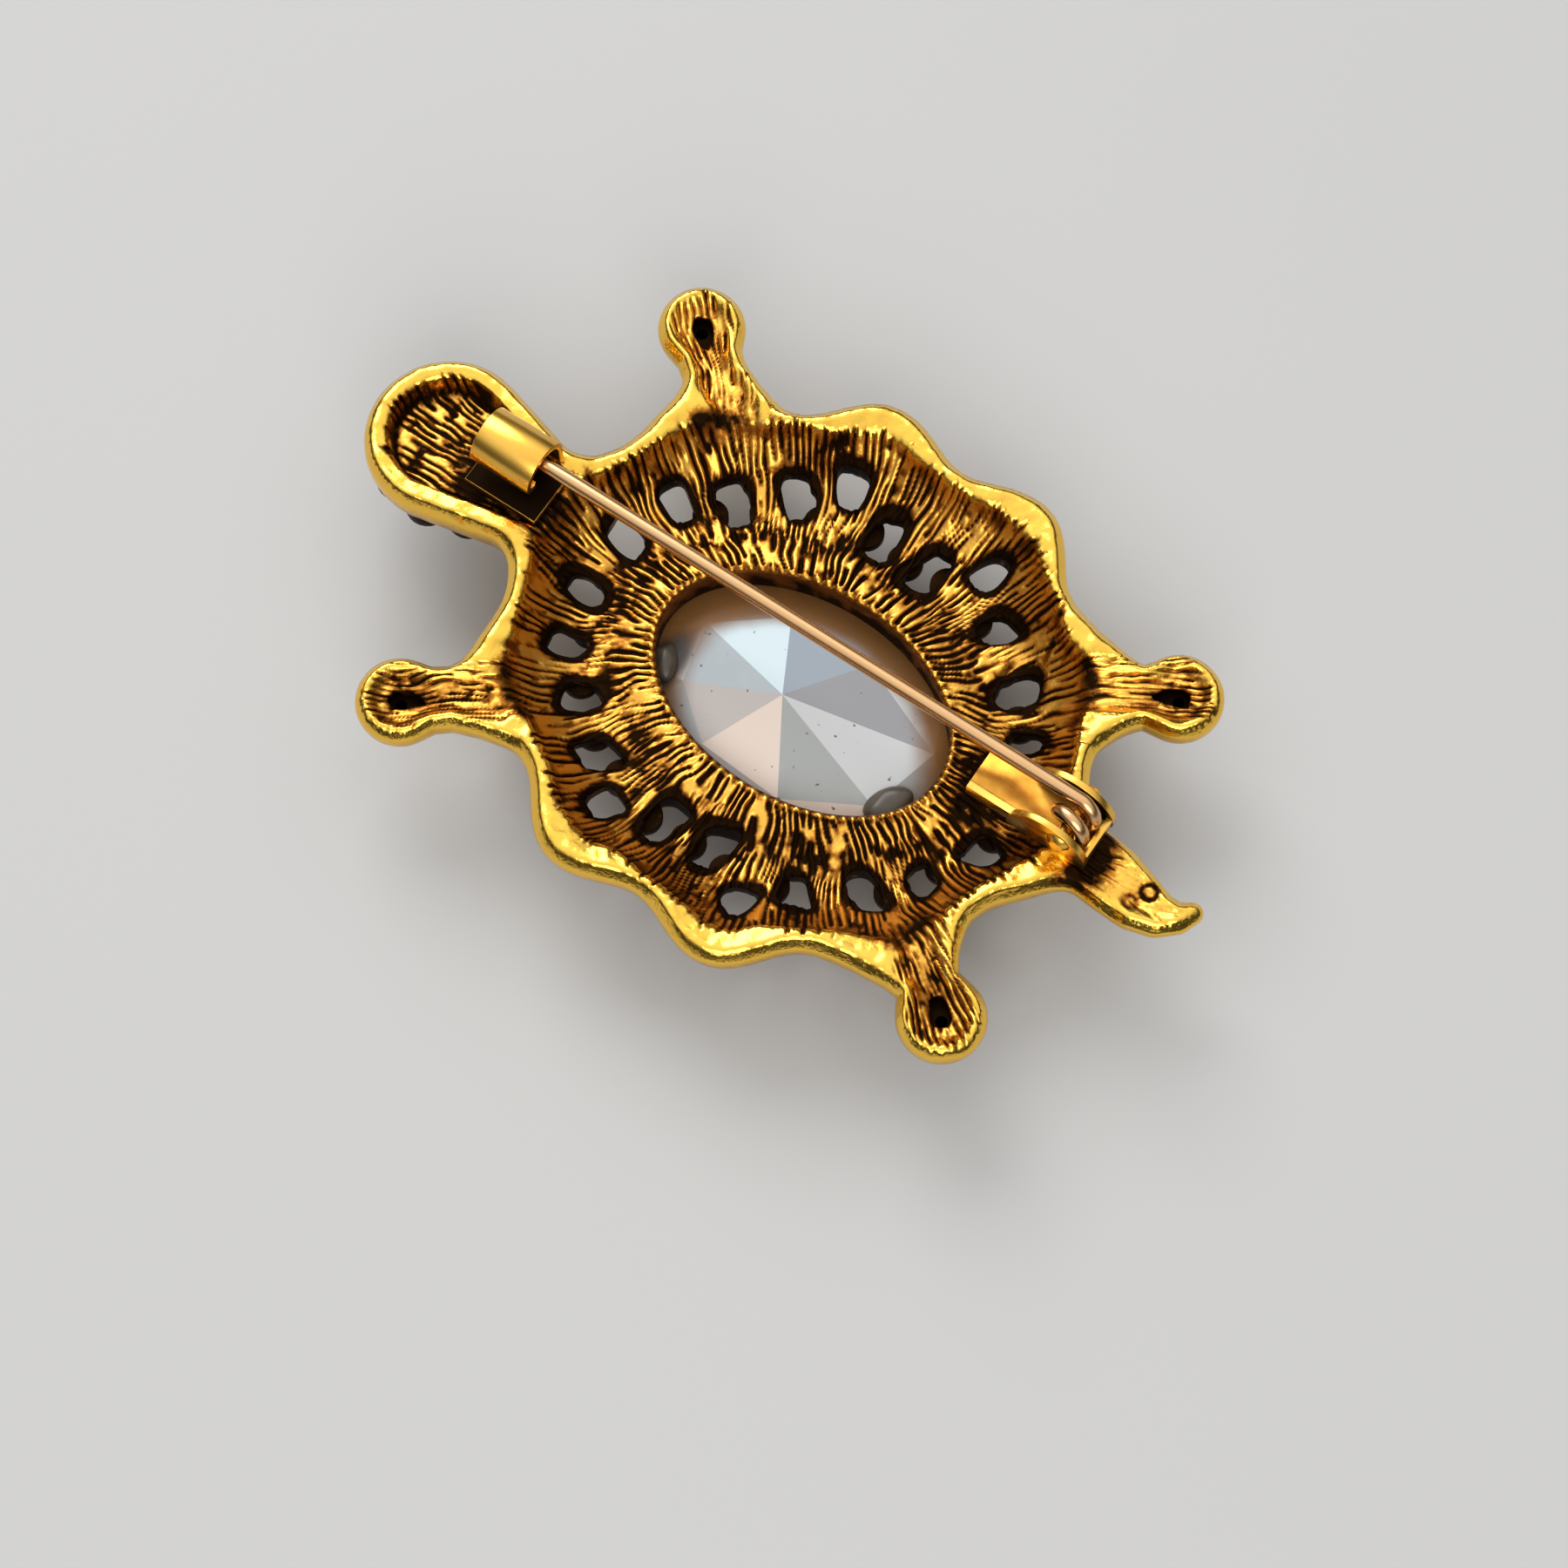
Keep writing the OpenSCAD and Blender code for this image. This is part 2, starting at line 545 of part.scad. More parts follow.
// Two drops of cement in the corner between the stone and its collar. They lie on the slope
// of the stone's back.
cement_drops = [[202, 1], [-14, 1.25]];    // angle of each drop and its share of the width
cement_gap = 0.05;          // room between a drop and the collar
cement_sink = 0.15;         // how deep the middle of a drop lies in the slope
cement_flat = 0.45;         // height of a drop as a share of its width
function slope_z(r, a) = let (
    girdle = oval(a, stone_l / 2, stone_w / 2),
    facets = oval(a, main_facet_l / 2, main_facet_w / 2)
) r > facets
    ? girdle_z + break_h * (girdle - r) / (girdle - facets)
    : break_z + point_h * (1 - r / facets);
module cement_drop(a, d) {
    r = opening_r(a) - d / 2 - cement_gap;
    translate([each polar(r, a), slope_z(r, a) - cement_sink])
        scale([1, 1, cement_flat]) sphere(d = d, $fn = 12);
}
module stone_adhesive() color("dimgray") {
    difference() {
        for (drop = cement_drops) cement_drop(drop[0], cement_d * drop[1]);
        stone_form([oval_ring(stone_l, stone_w, 0)]);
    }
}

module small_stone(d, p) color("darkslategray") translate(p) gem(d);

// Stamped hinge: a flat base with flanges under its front, two round ears and a back lip.
module hinge_base() color("gold") findings() {
    translate([-hinge_front, -ear_gap / 2, pad_z])
        cube([hinge_front + hinge_back, ear_gap, hinge_sheet]);
    flange_y = (ear_gap - hinge_sheet) / 2;
    flange_l = hinge_front + hinge_back - hinge_pad_l - 0.1;
    for (side = [-1, 1])
        translate([-hinge_front, side * flange_y - hinge_sheet / 2, pad_z - hinge_flange])
            cube([flange_l, hinge_sheet, hinge_flange]);
    translate([hinge_back - hinge_sheet, -ear_gap / 2, pad_z + hinge_sheet])
        cube([hinge_sheet, ear_gap, hinge_lip]);
    for (side = [-1, 1])
        translate([0, side * (hinge_w - hinge_sheet) / 2 + hinge_sheet / 2, pad_z])
            rotate([90, 0, 0])
                linear_extrude(hinge_sheet) ear_2d();
}
module ear_2d() difference() {
    intersection() {
        translate(ear_mid) circle(ear_r);
        translate([-2 * ear_r, 0]) square([4 * ear_r, 2 * ear_r]);
    }
    translate([0, axis_z - pad_z]) circle(d = rivet_d + 2 * rivet_bore_gap);
}

module hinge_rivet() color("gold") findings() translate([0, 0, axis_z]) rotate([90, 0, 0]) {
    cylinder(h = hinge_w + 2 * rivet_bore_gap, d = rivet_d, center = true);
    for (side = [0, 1]) mirror([0, 0, side]) translate([0, 0, hinge_w / 2 + rivet_bore_gap])
        cylinder(h = rivet_head_h, d1 = rivet_head_d, d2 = 0.6 * rivet_head_d);
}

// Pin: a straight stem with a ground point, and the coil that turns on the rivet.
module pin_stem() color("peru") findings() {
    translate([0, stem_y, stem_z]) rotate([0, -90, 0]) {
        cylinder(h = shank_l, d1 = coil_wire_d, d2 = wire_d);
        translate([0, 0, shank_l]) cylinder(h = pin_l - point_l - shank_l, d = wire_d);
        translate([0, 0, pin_l - point_l]) cylinder(h = point_l, d1 = wire_d, d2 = 0.2 * wire_d);
    }
    translate([0, 0, axis_z])
        skin(concat(
            [coil_ring(0) - [for (i = [1 : coil_sides]) [0.3 * wire_d, 0, 0]]],
            [for (k = [0 : coil_steps]) coil_ring(k * coil_turns / coil_steps)]
        ));
}

// Catch: one strip of sheet, flat on its pad, rolled up, over the pin and in again.
module catch() color("gold") findings() {
    translate([catch_end, stem_y, pad_z]) rotate([90, 0, 90]) linear_extrude(catch_l) catch_2d();
    translate([catch_end, stem_y - catch_w / 2 - catch_foot, pad_z])
        cube([catch_l + catch_tongue, catch_w + catch_foot, catch_sheet]);
}
module catch_2d() {
    out_r = catch_w / 2;
    lip_r = catch_mid_h - catch_sheet - catch_mouth;
    translate([catch_in_r, 0]) square([catch_sheet, catch_mid_h]);
    translate([0, catch_mid_h]) intersection() {
        ring_2d(out_r);
        translate([-out_r, 0]) square([2 * out_r, out_r]);
    }
    translate([-out_r + lip_r, catch_mid_h]) intersection() {
        ring_2d(lip_r);
        translate([-lip_r, -lip_r]) square([lip_r + 0.3, lip_r]);
    }
}
module ring_2d(r) difference() {
    circle(r);
    circle(r - catch_sheet);
}

function numbered(name, i) = str(name, "_", i < 9 ? "0" : "", i + 1);

cast_body();
centre_stone();
stone_adhesive();
hinge_base();
hinge_rivet();
pin_stem();
catch();
for (i = [0 : len(shell_stone_angles) - 1])
    small_stone(shell_stone_d, shell_stone_place(i));
for (i = [0 : len(head_stones) - 1])
    small_stone(head_stone_d, head_stone_place(i));
for (i = [0 : len(feet) - 1])
    small_stone(foot_stone_d, foot_stone_place(i));
small_stone(tail_stone_d, tail_stone_place);  // tail_stone
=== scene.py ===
# Turtle brooch lying face down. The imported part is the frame; this script dresses it
# and sets the floor, the light and the camera.
import math
from types import SimpleNamespace

import bpy
import numpy as np
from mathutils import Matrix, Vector
from mathutils.geometry import delaunay_2d_cdt


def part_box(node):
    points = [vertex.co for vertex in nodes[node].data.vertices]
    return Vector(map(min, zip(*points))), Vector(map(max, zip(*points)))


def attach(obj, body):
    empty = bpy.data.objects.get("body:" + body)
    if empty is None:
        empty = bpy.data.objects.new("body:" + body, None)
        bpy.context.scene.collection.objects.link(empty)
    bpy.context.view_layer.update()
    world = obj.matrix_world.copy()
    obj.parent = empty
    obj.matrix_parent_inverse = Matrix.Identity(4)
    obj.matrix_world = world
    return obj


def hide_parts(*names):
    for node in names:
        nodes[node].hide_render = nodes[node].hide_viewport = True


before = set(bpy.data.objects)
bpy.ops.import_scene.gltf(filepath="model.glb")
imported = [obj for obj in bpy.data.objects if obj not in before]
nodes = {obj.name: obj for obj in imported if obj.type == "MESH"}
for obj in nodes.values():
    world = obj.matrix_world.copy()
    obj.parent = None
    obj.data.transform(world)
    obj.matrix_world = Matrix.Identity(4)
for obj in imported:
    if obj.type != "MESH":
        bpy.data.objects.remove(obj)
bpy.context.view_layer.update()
mm = 0.001
wholeTurn = 2 * math.pi
print("frame loaded with", len(nodes), "nodes")


class Wire:
    def __init__(self, tree, socket=None):
        self.tree = tree
        self.socket = socket

    def add(self, kind, settings=None, inputs=None, out=0):
        node = self.tree.nodes.new(kind)
        for key, value in (settings or {}).items():
            setattr(node, key, value)
        for key, value in (inputs or {}).items():
            if isinstance(value, Wire):
                self.tree.links.new(value.socket, node.inputs[key])
            else:
                node.inputs[key].default_value = value
        return Wire(self.tree, node.outputs[out])

    def math(self, operation, first, second=0.0):
        return self.add("ShaderNodeMath", {"operation": operation}, {0: first, 1: second})

    def __add__(self, other):
        return self.math("ADD", self, other)

    def __radd__(self, other):
        return self.math("ADD", other, self)

    def __sub__(self, other):
        return self.math("SUBTRACT", self, other)

    def __rsub__(self, other):
        return self.math("SUBTRACT", other, self)

    def __mul__(self, other):
        return self.math("MULTIPLY", self, other)

    def __rmul__(self, other):
        return self.math("MULTIPLY", other, self)

    def __pow__(self, other):
        return self.math("POWER", self, other)

    def __abs__(self):
        return self.math("ABSOLUTE", self)

    def least(self, other):
        return self.math("MINIMUM", self, other)

    def most(self, other):
        return self.math("MAXIMUM", self, other)

    def span(self, low, high, start=0.0, end=1.0):
        places = {"Value": self, "From Min": low, "From Max": high, "To Min": start, "To Max": end}
        return self.add("ShaderNodeMapRange", {"interpolation_type": "SMOOTHSTEP"}, places)

    def blend(self, first, second):
        kind = {"data_type": "RGBA"}
        return self.add("ShaderNodeMix", kind, {"Factor": self, 6: first, 7: second}, out=2)

    def attribute(self, name, out="Fac"):
        return self.add("ShaderNodeAttribute", {"attribute_name": name}, out=out)

    def noise(self, scale, detail, roughness=0.5):
        inputs = {"Vector": self, "Scale": scale, "Detail": detail, "Roughness": roughness}
        return self.add("ShaderNodeTexNoise", {}, inputs)

    def streaks(self, scales):
        # noise drawn out along the axis with the smallest scale
        return self.add("ShaderNodeMapping", {}, {"Vector": self, "Scale": scales}).noise(1.0, 3.0)

    def part(self, axis):
        return self.add("ShaderNodeSeparateXYZ", {}, {0: self}, out=axis)

    def dot(self, way):
        kind = {"operation": "DOT_PRODUCT"}
        return self.add("ShaderNodeVectorMath", kind, {0: self, 1: way}, out="Value")

    def bump(self, strength, distance):
        inputs = {"Height": self, "Strength": strength, "Distance": distance}
        return self.add("ShaderNodeBump", {}, inputs)


def newMaterial(name):
    material = bpy.data.materials.new(name)
    material.use_nodes = True
    return material, material.node_tree.nodes["Principled BSDF"]


def objectPlace(material):
    return Wire(material.node_tree).add("ShaderNodeTexCoord", out="Object")


def plug(wire, shader, socketName):
    wire.tree.links.new(wire.socket, shader.inputs[socketName])


def dress(piece, material):
    piece.data.materials.clear()
    piece.data.materials.append(material)


def deselect():
    if bpy.context.object and bpy.context.object.mode != "OBJECT":
        bpy.ops.object.mode_set(mode="OBJECT")
    bpy.ops.object.select_all(action="DESELECT")


def pick(piece):
    deselect()
    piece.select_set(True)
    bpy.context.view_layer.objects.active = piece


def joined(pieces, name):
    pick(pieces[0])
    for piece in pieces:
        piece.select_set(True)
    bpy.ops.object.join()
    bpy.context.object.name = name
    return bpy.context.object


def newPiece(name, data):
    piece = bpy.data.objects.new(name, data)
    bpy.context.scene.collection.objects.link(piece)
    return piece


def meshPiece(name, points, faces):
    mesh = bpy.data.meshes.new(name)
    mesh.from_pydata([tuple(p) for p in points], [], [tuple(f) for f in faces])
    mesh.update()
    return newPiece(name, mesh)


def storeValues(piece, name, values):
    layer = piece.data.attributes.new(name, "FLOAT", "POINT")
    layer.data.foreach_set("value", np.asarray(values, np.float32))


def storeFaces(piece, name, rule):
    # the rule's value for a face's normal and middle, on all the face's corners
    layer = piece.data.attributes.new(name, "FLOAT", "CORNER")
    for polygon in piece.data.polygons:
        value = rule(polygon.normal, polygon.center / mm)
        for loop in polygon.loop_indices:
            layer.data[loop].value = value


def smoothStep(low, high, value):
    t = np.clip((value - low) / (high - low), 0, 1)
    return t * t * (3 - 2 * t)


def mixed(first, second, share):
    return first + (second - first) * share


def ridge(value, width):
    # 1 where the value is nought, falling off on both sides
    return np.exp(-(value / width) ** 2)


def polar(r, angle):
    return np.stack([r * np.cos(angle), r * np.sin(angle)], 1)


def lattice(i, j, seed):
    n = np.sin(i * 127.1 + j * 311.7 + seed * 74.7) * 43758.5453
    return n - np.floor(n)


def chance(i, j, seed):
    return float(lattice(np.float64(i), np.float64(j), seed))


def softNoise(x, y, seed, wrap=None):
    i, j = np.floor(x), np.floor(y)
    fx, fy = x - i, y - j
    fx, fy = fx * fx * (3 - 2 * fx), fy * fy * (3 - 2 * fy)
    k = i + 1
    if wrap:
        i, k = np.mod(i, wrap), np.mod(k, wrap)
    low = mixed(lattice(i, j, seed), lattice(k, j, seed), fx)
    high = mixed(lattice(i, j + 1, seed), lattice(k, j + 1, seed), fx)
    return mixed(low, high, fy)


# The casting: its plan is the outline with holes in it, and every point of the plan
# has a height on the back and one on the front. Sizes in millimetres.
casting = {
    "opening": (21.7, 14.7),
    "collarWidth": 1.4,
    "collarTop": 6.4,
    "stone": (25.0, 18.0),
    "stoneRoom": 0.04,
    "shell": (43.6, 38.2),
    "edgeInset": 0.05,
    "scallop": 1.05,
    "scallops": 10,
    "tailTaper": 0.9,
    "rimWidth": 2.25,
    "rimNarrow": 1.15,
    "rimTop": 9.7,
    "rimHeight": 3.4,
    "rimBulge": 0.4,
    "valley": 5.7,
    "valleyShare": 0.4,
    "windowSize": (4.2, 2.7),
    "windowLonger": 0.4,  # a window is at least this much longer than wide
    "windows": [  # degrees from the tail, share of the way out, shares of length and width
        (7, 0.6, 0.75, 0.9), (23, 0.62, 0.65, 0.8), (37, 0.44, 0.85, 1), (56, 0.64, 0.75, 0.95),
        (70, 0.7, 0.75, 0.9), (83, 0.46, 1, 1), (100, 0.48, 1, 1), (113, 0.7, 0.75, 0.95),
        (127, 0.66, 0.8, 1), (144, 0.46, 0.85, 1), (157, 0.68, 0.75, 0.85), (172, 0.58, 0.85, 0.95),
    ],
    "headX": 29.45,
    "headRadius": 5.7,
    "neckX": 20.5,
    "neckWidth": 6.8,
    "feet": [(-20.6, -16.8), (-20.6, 16.8), (20.9, -13.6), (20.9, 13.6)],
    "footRadius": 3.0,
    "footStone": 3.0,
    "ankleWidth": 4.4,
    "ankleShare": 0.3,
    "legRoot": (1.6, 0.9),  # how far inside the edge a leg starts, and how much wider it is there
    "legEnd": (1.7, 0.1),  # how far before the foot's middle it ends, and how much wider it is there
    "tailTip": 30.15,
    "tailWidth": 4.4,
    "tailCurl": 1.6,
    "tailSide": 0.8,
    "tailRows": [  # share of the tail's length, share of its curl to the side, share of its width
        (-0.1, 0, 1.15), (0.2, 0, 1.02), (0.45, -0.1, 1), (0.65, -0.3, 0.86), (0.8, -0.3, 0.64),
        (0.92, 0.05, 0.42), (0.985, 0.6, 0.26),
    ],
    "limbInset": 0.3,
    "limbStart": (-2.2, 0.9),  # a limb's form takes over between these distances from the edge
    "limbSides": (-2.2, 0.4),  # and between these depths inside the limb
    "fillet": 1.6,
}


def oval(angle, rx, ry):
    return rx * ry / np.sqrt((ry * np.cos(angle)) ** 2 + (rx * np.sin(angle)) ** 2)


def openingRadius(angle):
    return oval(angle, casting["opening"][0] / 2, casting["opening"][1] / 2)


def collarRadius(angle):
    return openingRadius(angle) + casting["collarWidth"]


def girdleRadius(angle):
    return oval(angle, casting["stone"][0] / 2, casting["stone"][1] / 2)


def edgeRadius(angle):
    c = casting
    r = oval(angle, c["shell"][0] / 2, c["shell"][1] / 2) + c["scallop"] * np.cos(c["scallops"] * angle)
    return r - c["tailTaper"] * np.maximum(np.cos(angle), 0) ** 2


def discRow(steps, count=10):
    discs = []
    for (x0, y0, r0), (x1, y1, r1) in zip(steps, steps[1:]):
        for t in np.linspace(0, 1, count, endpoint=False):
            discs.append((mixed(x0, x1, t), mixed(y0, y1, t), mixed(r0, r1, t)))
    return np.array(discs + [steps[-1]])


def footWay(x, y):
    # from the middle of the shell to a foot
    return np.array([x, y]) / math.hypot(x, y)


def limbDiscs():
    # rows of discs that the head, the four feet and the tail are made of, in that order
    c = casting
    cut = c["limbInset"]
    head = (-c["headX"], 0, c["headRadius"] - cut)
    neck = (-c["neckX"], 0, c["neckWidth"] / 2 - cut / 2)
    rows = [discRow([head, neck], 16)]
    half = c["ankleWidth"] / 2 - cut
    (rootIn, rootMore), (endIn, endMore) = c["legRoot"], c["legEnd"]
    for x, y in c["feet"]:
        far, edge = math.hypot(x, y), float(edgeRadius(math.atan2(y, x)))
        ankle = mixed(edge, far, c["ankleShare"])
        places = [(edge - rootIn, half + rootMore), (ankle, half), (far - endIn, half + endMore)]
        steps = [(*(footWay(x, y) * r), w) for r, w in places]
        rows.append(discRow(steps + [(x, y, c["footRadius"] - cut)]))
    root = float(edgeRadius(0.0)) - c["rimWidth"]
    steps = []
    for share, curl, wide in c["tailRows"]:
        side = c["tailSide"] + c["tailCurl"] * curl
        steps.append((mixed(root, c["tailTip"], share), side, c["tailWidth"] / 2 * wide - cut / 2))
    rows.append(discRow(steps))
    return rows


limbs = limbDiscs()
headLimb, tailLimb = 0, 5
farOff = 99.0  # further than any distance on the brooch


def limbFields(x, y):
    fields = []
    for discs in limbs:
        best = np.full(x.shape, -farOff)
        for cx, cy, r in discs:
            best = np.maximum(best, r - np.hypot(x - cx, y - cy))
        fields.append(best)
    return fields


def shellField(x, y):
    nudge = 0.005
    angle, r = np.arctan2(y, x), np.hypot(x, y)
    turn = (edgeRadius(angle + nudge) - edgeRadius(angle - nudge)) / (2 * nudge)
    return (edgeRadius(angle) - casting["edgeInset"] - r) / np.sqrt(1 + (turn / np.maximum(r, 1)) ** 2)


def outlineField(x, y):
    # how deep a point lies inside the outline, with fillets where the limbs leave the shell
    field = shellField(x, y)
    for limb in limbFields(x, y):
        h = np.clip(0.5 + 0.5 * (field - limb) / casting["fillet"], 0, 1)
        field = mixed(limb, field, h) + casting["fillet"] * h * (1 - h)
    return field


def walkOutline(step):
    # follows the line where the field is nought, the inside on the left
    nudge, mostSteps, leastSteps, corrections = 0.01, 4000, 60, 3
    place, loop = np.array([21.0, 6.0]), []  # a point close to the outline
    offsets = np.array([[0, 0], [nudge, 0], [-nudge, 0], [0, nudge], [0, -nudge]])
    for k in range(mostSteps):
        for correction in range(corrections):
            at = place + offsets
            f = outlineField(at[:, 0], at[:, 1])
            slope = np.array([f[1] - f[2], f[3] - f[4]]) / (2 * nudge)
            place = place - f[0] * slope / slope.dot(slope)
        if k > leastSteps and np.hypot(*(place - loop[0][:2])) < 0.8 * step:
            break
        out = -slope / np.hypot(*slope)
        loop.append((*place, *out))
        place = place + step * np.array([slope[1], -slope[0]]) / np.hypot(*slope)
    return np.array(loop)


# The windows are rounded oblongs, each bent and uneven in its own way
windowForm = {
    "lean": 0.7,
    "narrow": 0.8,
    "square": (0.52, 0.4),  # least, range: 1 is an oval, less is squarer
    "ragged": (0.58, 0.44),
    "waves": 7,
    "points": 44,
    "corner": 0.42,  # share of the width
    "seeds": (0, 20),  # where the seeds of the two sides start
}


def windowPlaces():
    c = casting
    fullLong, fullWide = c["windowSize"]
    places = []
    for side, firstSeed in zip((1, -1), windowForm["seeds"]):
        for k, (degrees, share, longShare, wideShare) in enumerate(c["windows"]):
            angle = math.radians(side * degrees)
            r = mixed(float(collarRadius(angle)), float(edgeRadius(angle)) - c["rimWidth"], share)
            wide = fullWide * wideShare
            long = max(fullLong * longShare, wide + c["windowLonger"])
            places.append((r * math.cos(angle), r * math.sin(angle), angle, long, wide, firstSeed + k))
    return places


windowList = windowPlaces()


def windowBend(seed):
    # how far a window leans, and how much it narrows along its length
    lean, narrow = chance(seed, 1, 4) - 0.5, chance(seed, 3, 4) - 0.5
    return windowForm["lean"] * lean, windowForm["narrow"] * narrow


def windowLoop(place):
    x, y, angle, long, wide, seed = place
    lean, narrow = windowBend(seed)
    points, waves = windowForm["points"], windowForm["waves"]
    turns = np.linspace(0, wholeTurn, points, endpoint=False)
    least, more = windowForm["square"]
    power = least + more * chance(seed, 2, 6)
    lx = long / 2 * np.sign(np.cos(turns)) * np.abs(np.cos(turns)) ** power
    ly = wide / 2 * np.sign(np.sin(turns)) * np.abs(np.sin(turns)) ** power
    least, more = windowForm["ragged"]
    ragged = least + more * softNoise(turns / wholeTurn * waves, np.full(points, 0.5), seed, waves)
    lx, ly = lx * ragged, ly * ragged
    ly = ly * (1 + narrow * 2 * lx / long)
    lx = lx + lean * ly
    cos, sin = np.cos(angle), np.sin(angle)
    return np.stack([x + lx * cos - ly * sin, y + lx * sin + ly * cos], 1)


def windowDistance(x, y):
    # how far a point lies outside the nearest window, taken as even
    best = np.full(x.shape, farOff)
    for wx, wy, angle, long, wide, seed in windowList:
        lx = (x - wx) * math.cos(angle) + (y - wy) * math.sin(angle)
        ly = -(x - wx) * math.sin(angle) + (y - wy) * math.cos(angle)
        lean, narrow = windowBend(seed)
        lx = lx - lean * ly
        ly = ly / (1 + narrow * 2 * np.clip(lx / long, -0.6, 0.6))
        corner = windowForm["corner"] * wide
        qx, qy = np.abs(lx) - long / 2 + corner, np.abs(ly) - wide / 2 + corner
        outside = np.hypot(np.maximum(qx, 0), np.maximum(qy, 0)) + np.minimum(np.maximum(qx, qy), 0)
        best = np.minimum(best, outside - corner)
    return best


# What each limb has of its own: head, feet, tail
limbForms = {
    "top": (10.0, 9.6, 9.3),
    "height": (3.8, 3.2, 2.6),
    "hollow": (1.9, 0.55, 0.25),
    "rim": (1.34, 0.5, 0.6),
    "rimSlope": (0.5, 0.9, 0.9),
    "rimFall": (0.2, 0.1, 0.1),
    "lineDepth": (0.75, 0.75, 0.45),
    "lineDark": (1.7, 1.1, 1.1),
    "coveDark": (0.75, 0.3, 0.3),
}


def planAt(x, y):
    # where points lie on the plan: turn, reach, depth inside the outline and the nearest limb
    c = casting
    angle, r = np.arctan2(y, x), np.hypot(x, y)
    depths = np.stack(limbFields(x, y))
    nearest = np.argmax(depths, 0)
    edge = edgeRadius(angle)
    beyond = smoothStep(*c["limbStart"], r - edge) * smoothStep(*c["limbSides"], np.max(depths, 0))
    return SimpleNamespace(
        x=x, y=y, angle=angle, r=r, edge=edge, beyond=beyond, field=outlineField(x, y),
        isHead=nearest == headLimb, isTail=nearest == tailLimb,
        legs=np.max(depths[headLimb + 1:tailLimb], 0), gap=windowDistance(x, y))


def limbAt(at, name):
    head, foot, tail = limbForms[name]
    return np.where(at.isHead, head, np.where(at.isTail, tail, foot))


# Unevenness of the casting. Round the turn: how many, how fast it changes outward, seed.
# Clouds: how many in a millimetre, shift, seed.
uneven = {
    "sway": (40, 0.1, 5),
    "ragged": (46, 0.3, 8),
    "ticks": (300, 0.05, 17),
    "flecks": (260, 1.9, 78),
    "dents": (0.7, 20, 91),
    "smallDents": (1.9, 0, 92),
    "pits": (1.7, 40, 61),
    "throatShadow": (0.9, 0, 75),
    "spread": (0.45, 9, 71),
    "crumbs": (3.1, 5, 77),
    "stainAndShade": (1.3, 50, 81),
}


def around(turn, r, name):
    count, pace, seed = uneven[name]
    return softNoise(turn * count, r * pace, seed, count) - 0.5


def clouded(x, y, name, lift=0):
    scale, shift, seed = uneven[name]
    return softNoise(x * scale + shift, y * scale + shift + lift, seed)


# The back's relief, in millimetres where nothing else is said
back = {
    "rimStep": 0.75,  # the shell's floor ends this far below the rim
    "rimBack": 0.2,
    "rimSway": 0.5,
    "limbSway": 0.4,  # share of the sway that the limbs' rims take
    "rimSlope": 0.35,
    "rimLap": 0.1,
    "rimRound": (0.45, 2.2),  # radius, power
    "rimFall": (0.3, 1.3, 1.5),  # how far it falls over how wide a run, and for how many runs
    "dents": 0.2,
    "smallDents": 0.1,
    "lip": (0.42, 0.34, 0.26),  # distance from the opening, half width, height
    "lipEdge": (0.12, 0.3),  # how far it drops at the opening, over how much
    "beads": 84,
    "beadRise": 0.8,  # share of the lip's height that comes and goes
    "beadSway": 0.5,
    "beadSeed": 7,
    "lineDepth": 0.3,
    "lineLean": (0.5, 0.8),  # how much the lines follow the oval at the collar, and how far out
    "lineStart": (0.25, 0.6),  # distance from the opening
    "lineEnd": (-0.3, 0.15),  # distance from the rim
    "ticks": 0.9,  # how unevenly they end there
    "outerLines": (0.16, 0.34),  # share of the way out where they take over
    "outerRagged": 0.5,
    "limbLines": (0.2, 0.8),
    "fleckBand": (0.2, 0.12),  # share of the way out, half width
    "flecks": 0.16,
    "pits": 0.1,
    "pitLevels": (0.62, 0.9),
    "windowRound": (0.2, 0.4),  # height, reach
    "footHollow": (0.75, 1.9, 0.95, 0.5),  # shift inward, half length, half width, depth
    "tailRings": [(27.0, 1.1, 0.5, 1.0), (26.3, -0.1, 0.42, 0.6)],  # place, radius, strength
    "ringLine": (0.19, 0.16),  # half width, depth
    "leaf": (23.2, 25.5, 0.8),  # the tail's lines fade between these reaches, by this share
}


# Engraved lines: how many in a whole turn, seed, how narrow
lines = {
    "inner": (124, 11, 0.8),
    "outer": (212, 23, 0.95),
    "limb": (384, 37, 1.0),
    "front": (120, 53, 1.0),
    "wander": (1.5, 0.3),  # how far, in lines, and how fast along the line
    "shake": (0.6, 0.9),
    "narrow": (0.9, 2.2, 0.3),  # least, range, how fast along the line
    "deep": (0.55, 0.45, 0.45),
    "breaks": (0.14, 0.34, 0.8),
}


def engraved(turn, along, kind):
    # one groove for each whole number of line, uneven in depth, width and course
    count, seed, narrow = lines[kind]
    line = turn * count
    (wander, wanderPace), (shake, shakePace) = lines["wander"], lines["shake"]
    course = line + wander * (softNoise(line / 4, along * wanderPace, seed, count // 4) - 0.5)
    course = course + shake * (softNoise(line / 2, along * shakePace, seed + 1, count // 2) - 0.5)

    def ownNoise(pace, extra):
        return softNoise(np.round(course), along * pace, seed + extra, count)

    least, more, pace = lines["narrow"]
    power = narrow * (least + more * ownNoise(pace, 2))
    least, more, pace = lines["deep"]
    depth = least + more * ownNoise(pace, 3)
    low, high, pace = lines["breaks"]
    whole = smoothStep(low, high, ownNoise(pace, 4))
    wave = 0.5 + 0.5 * np.cos(wholeTurn * course)
    return wave ** power * depth * whole


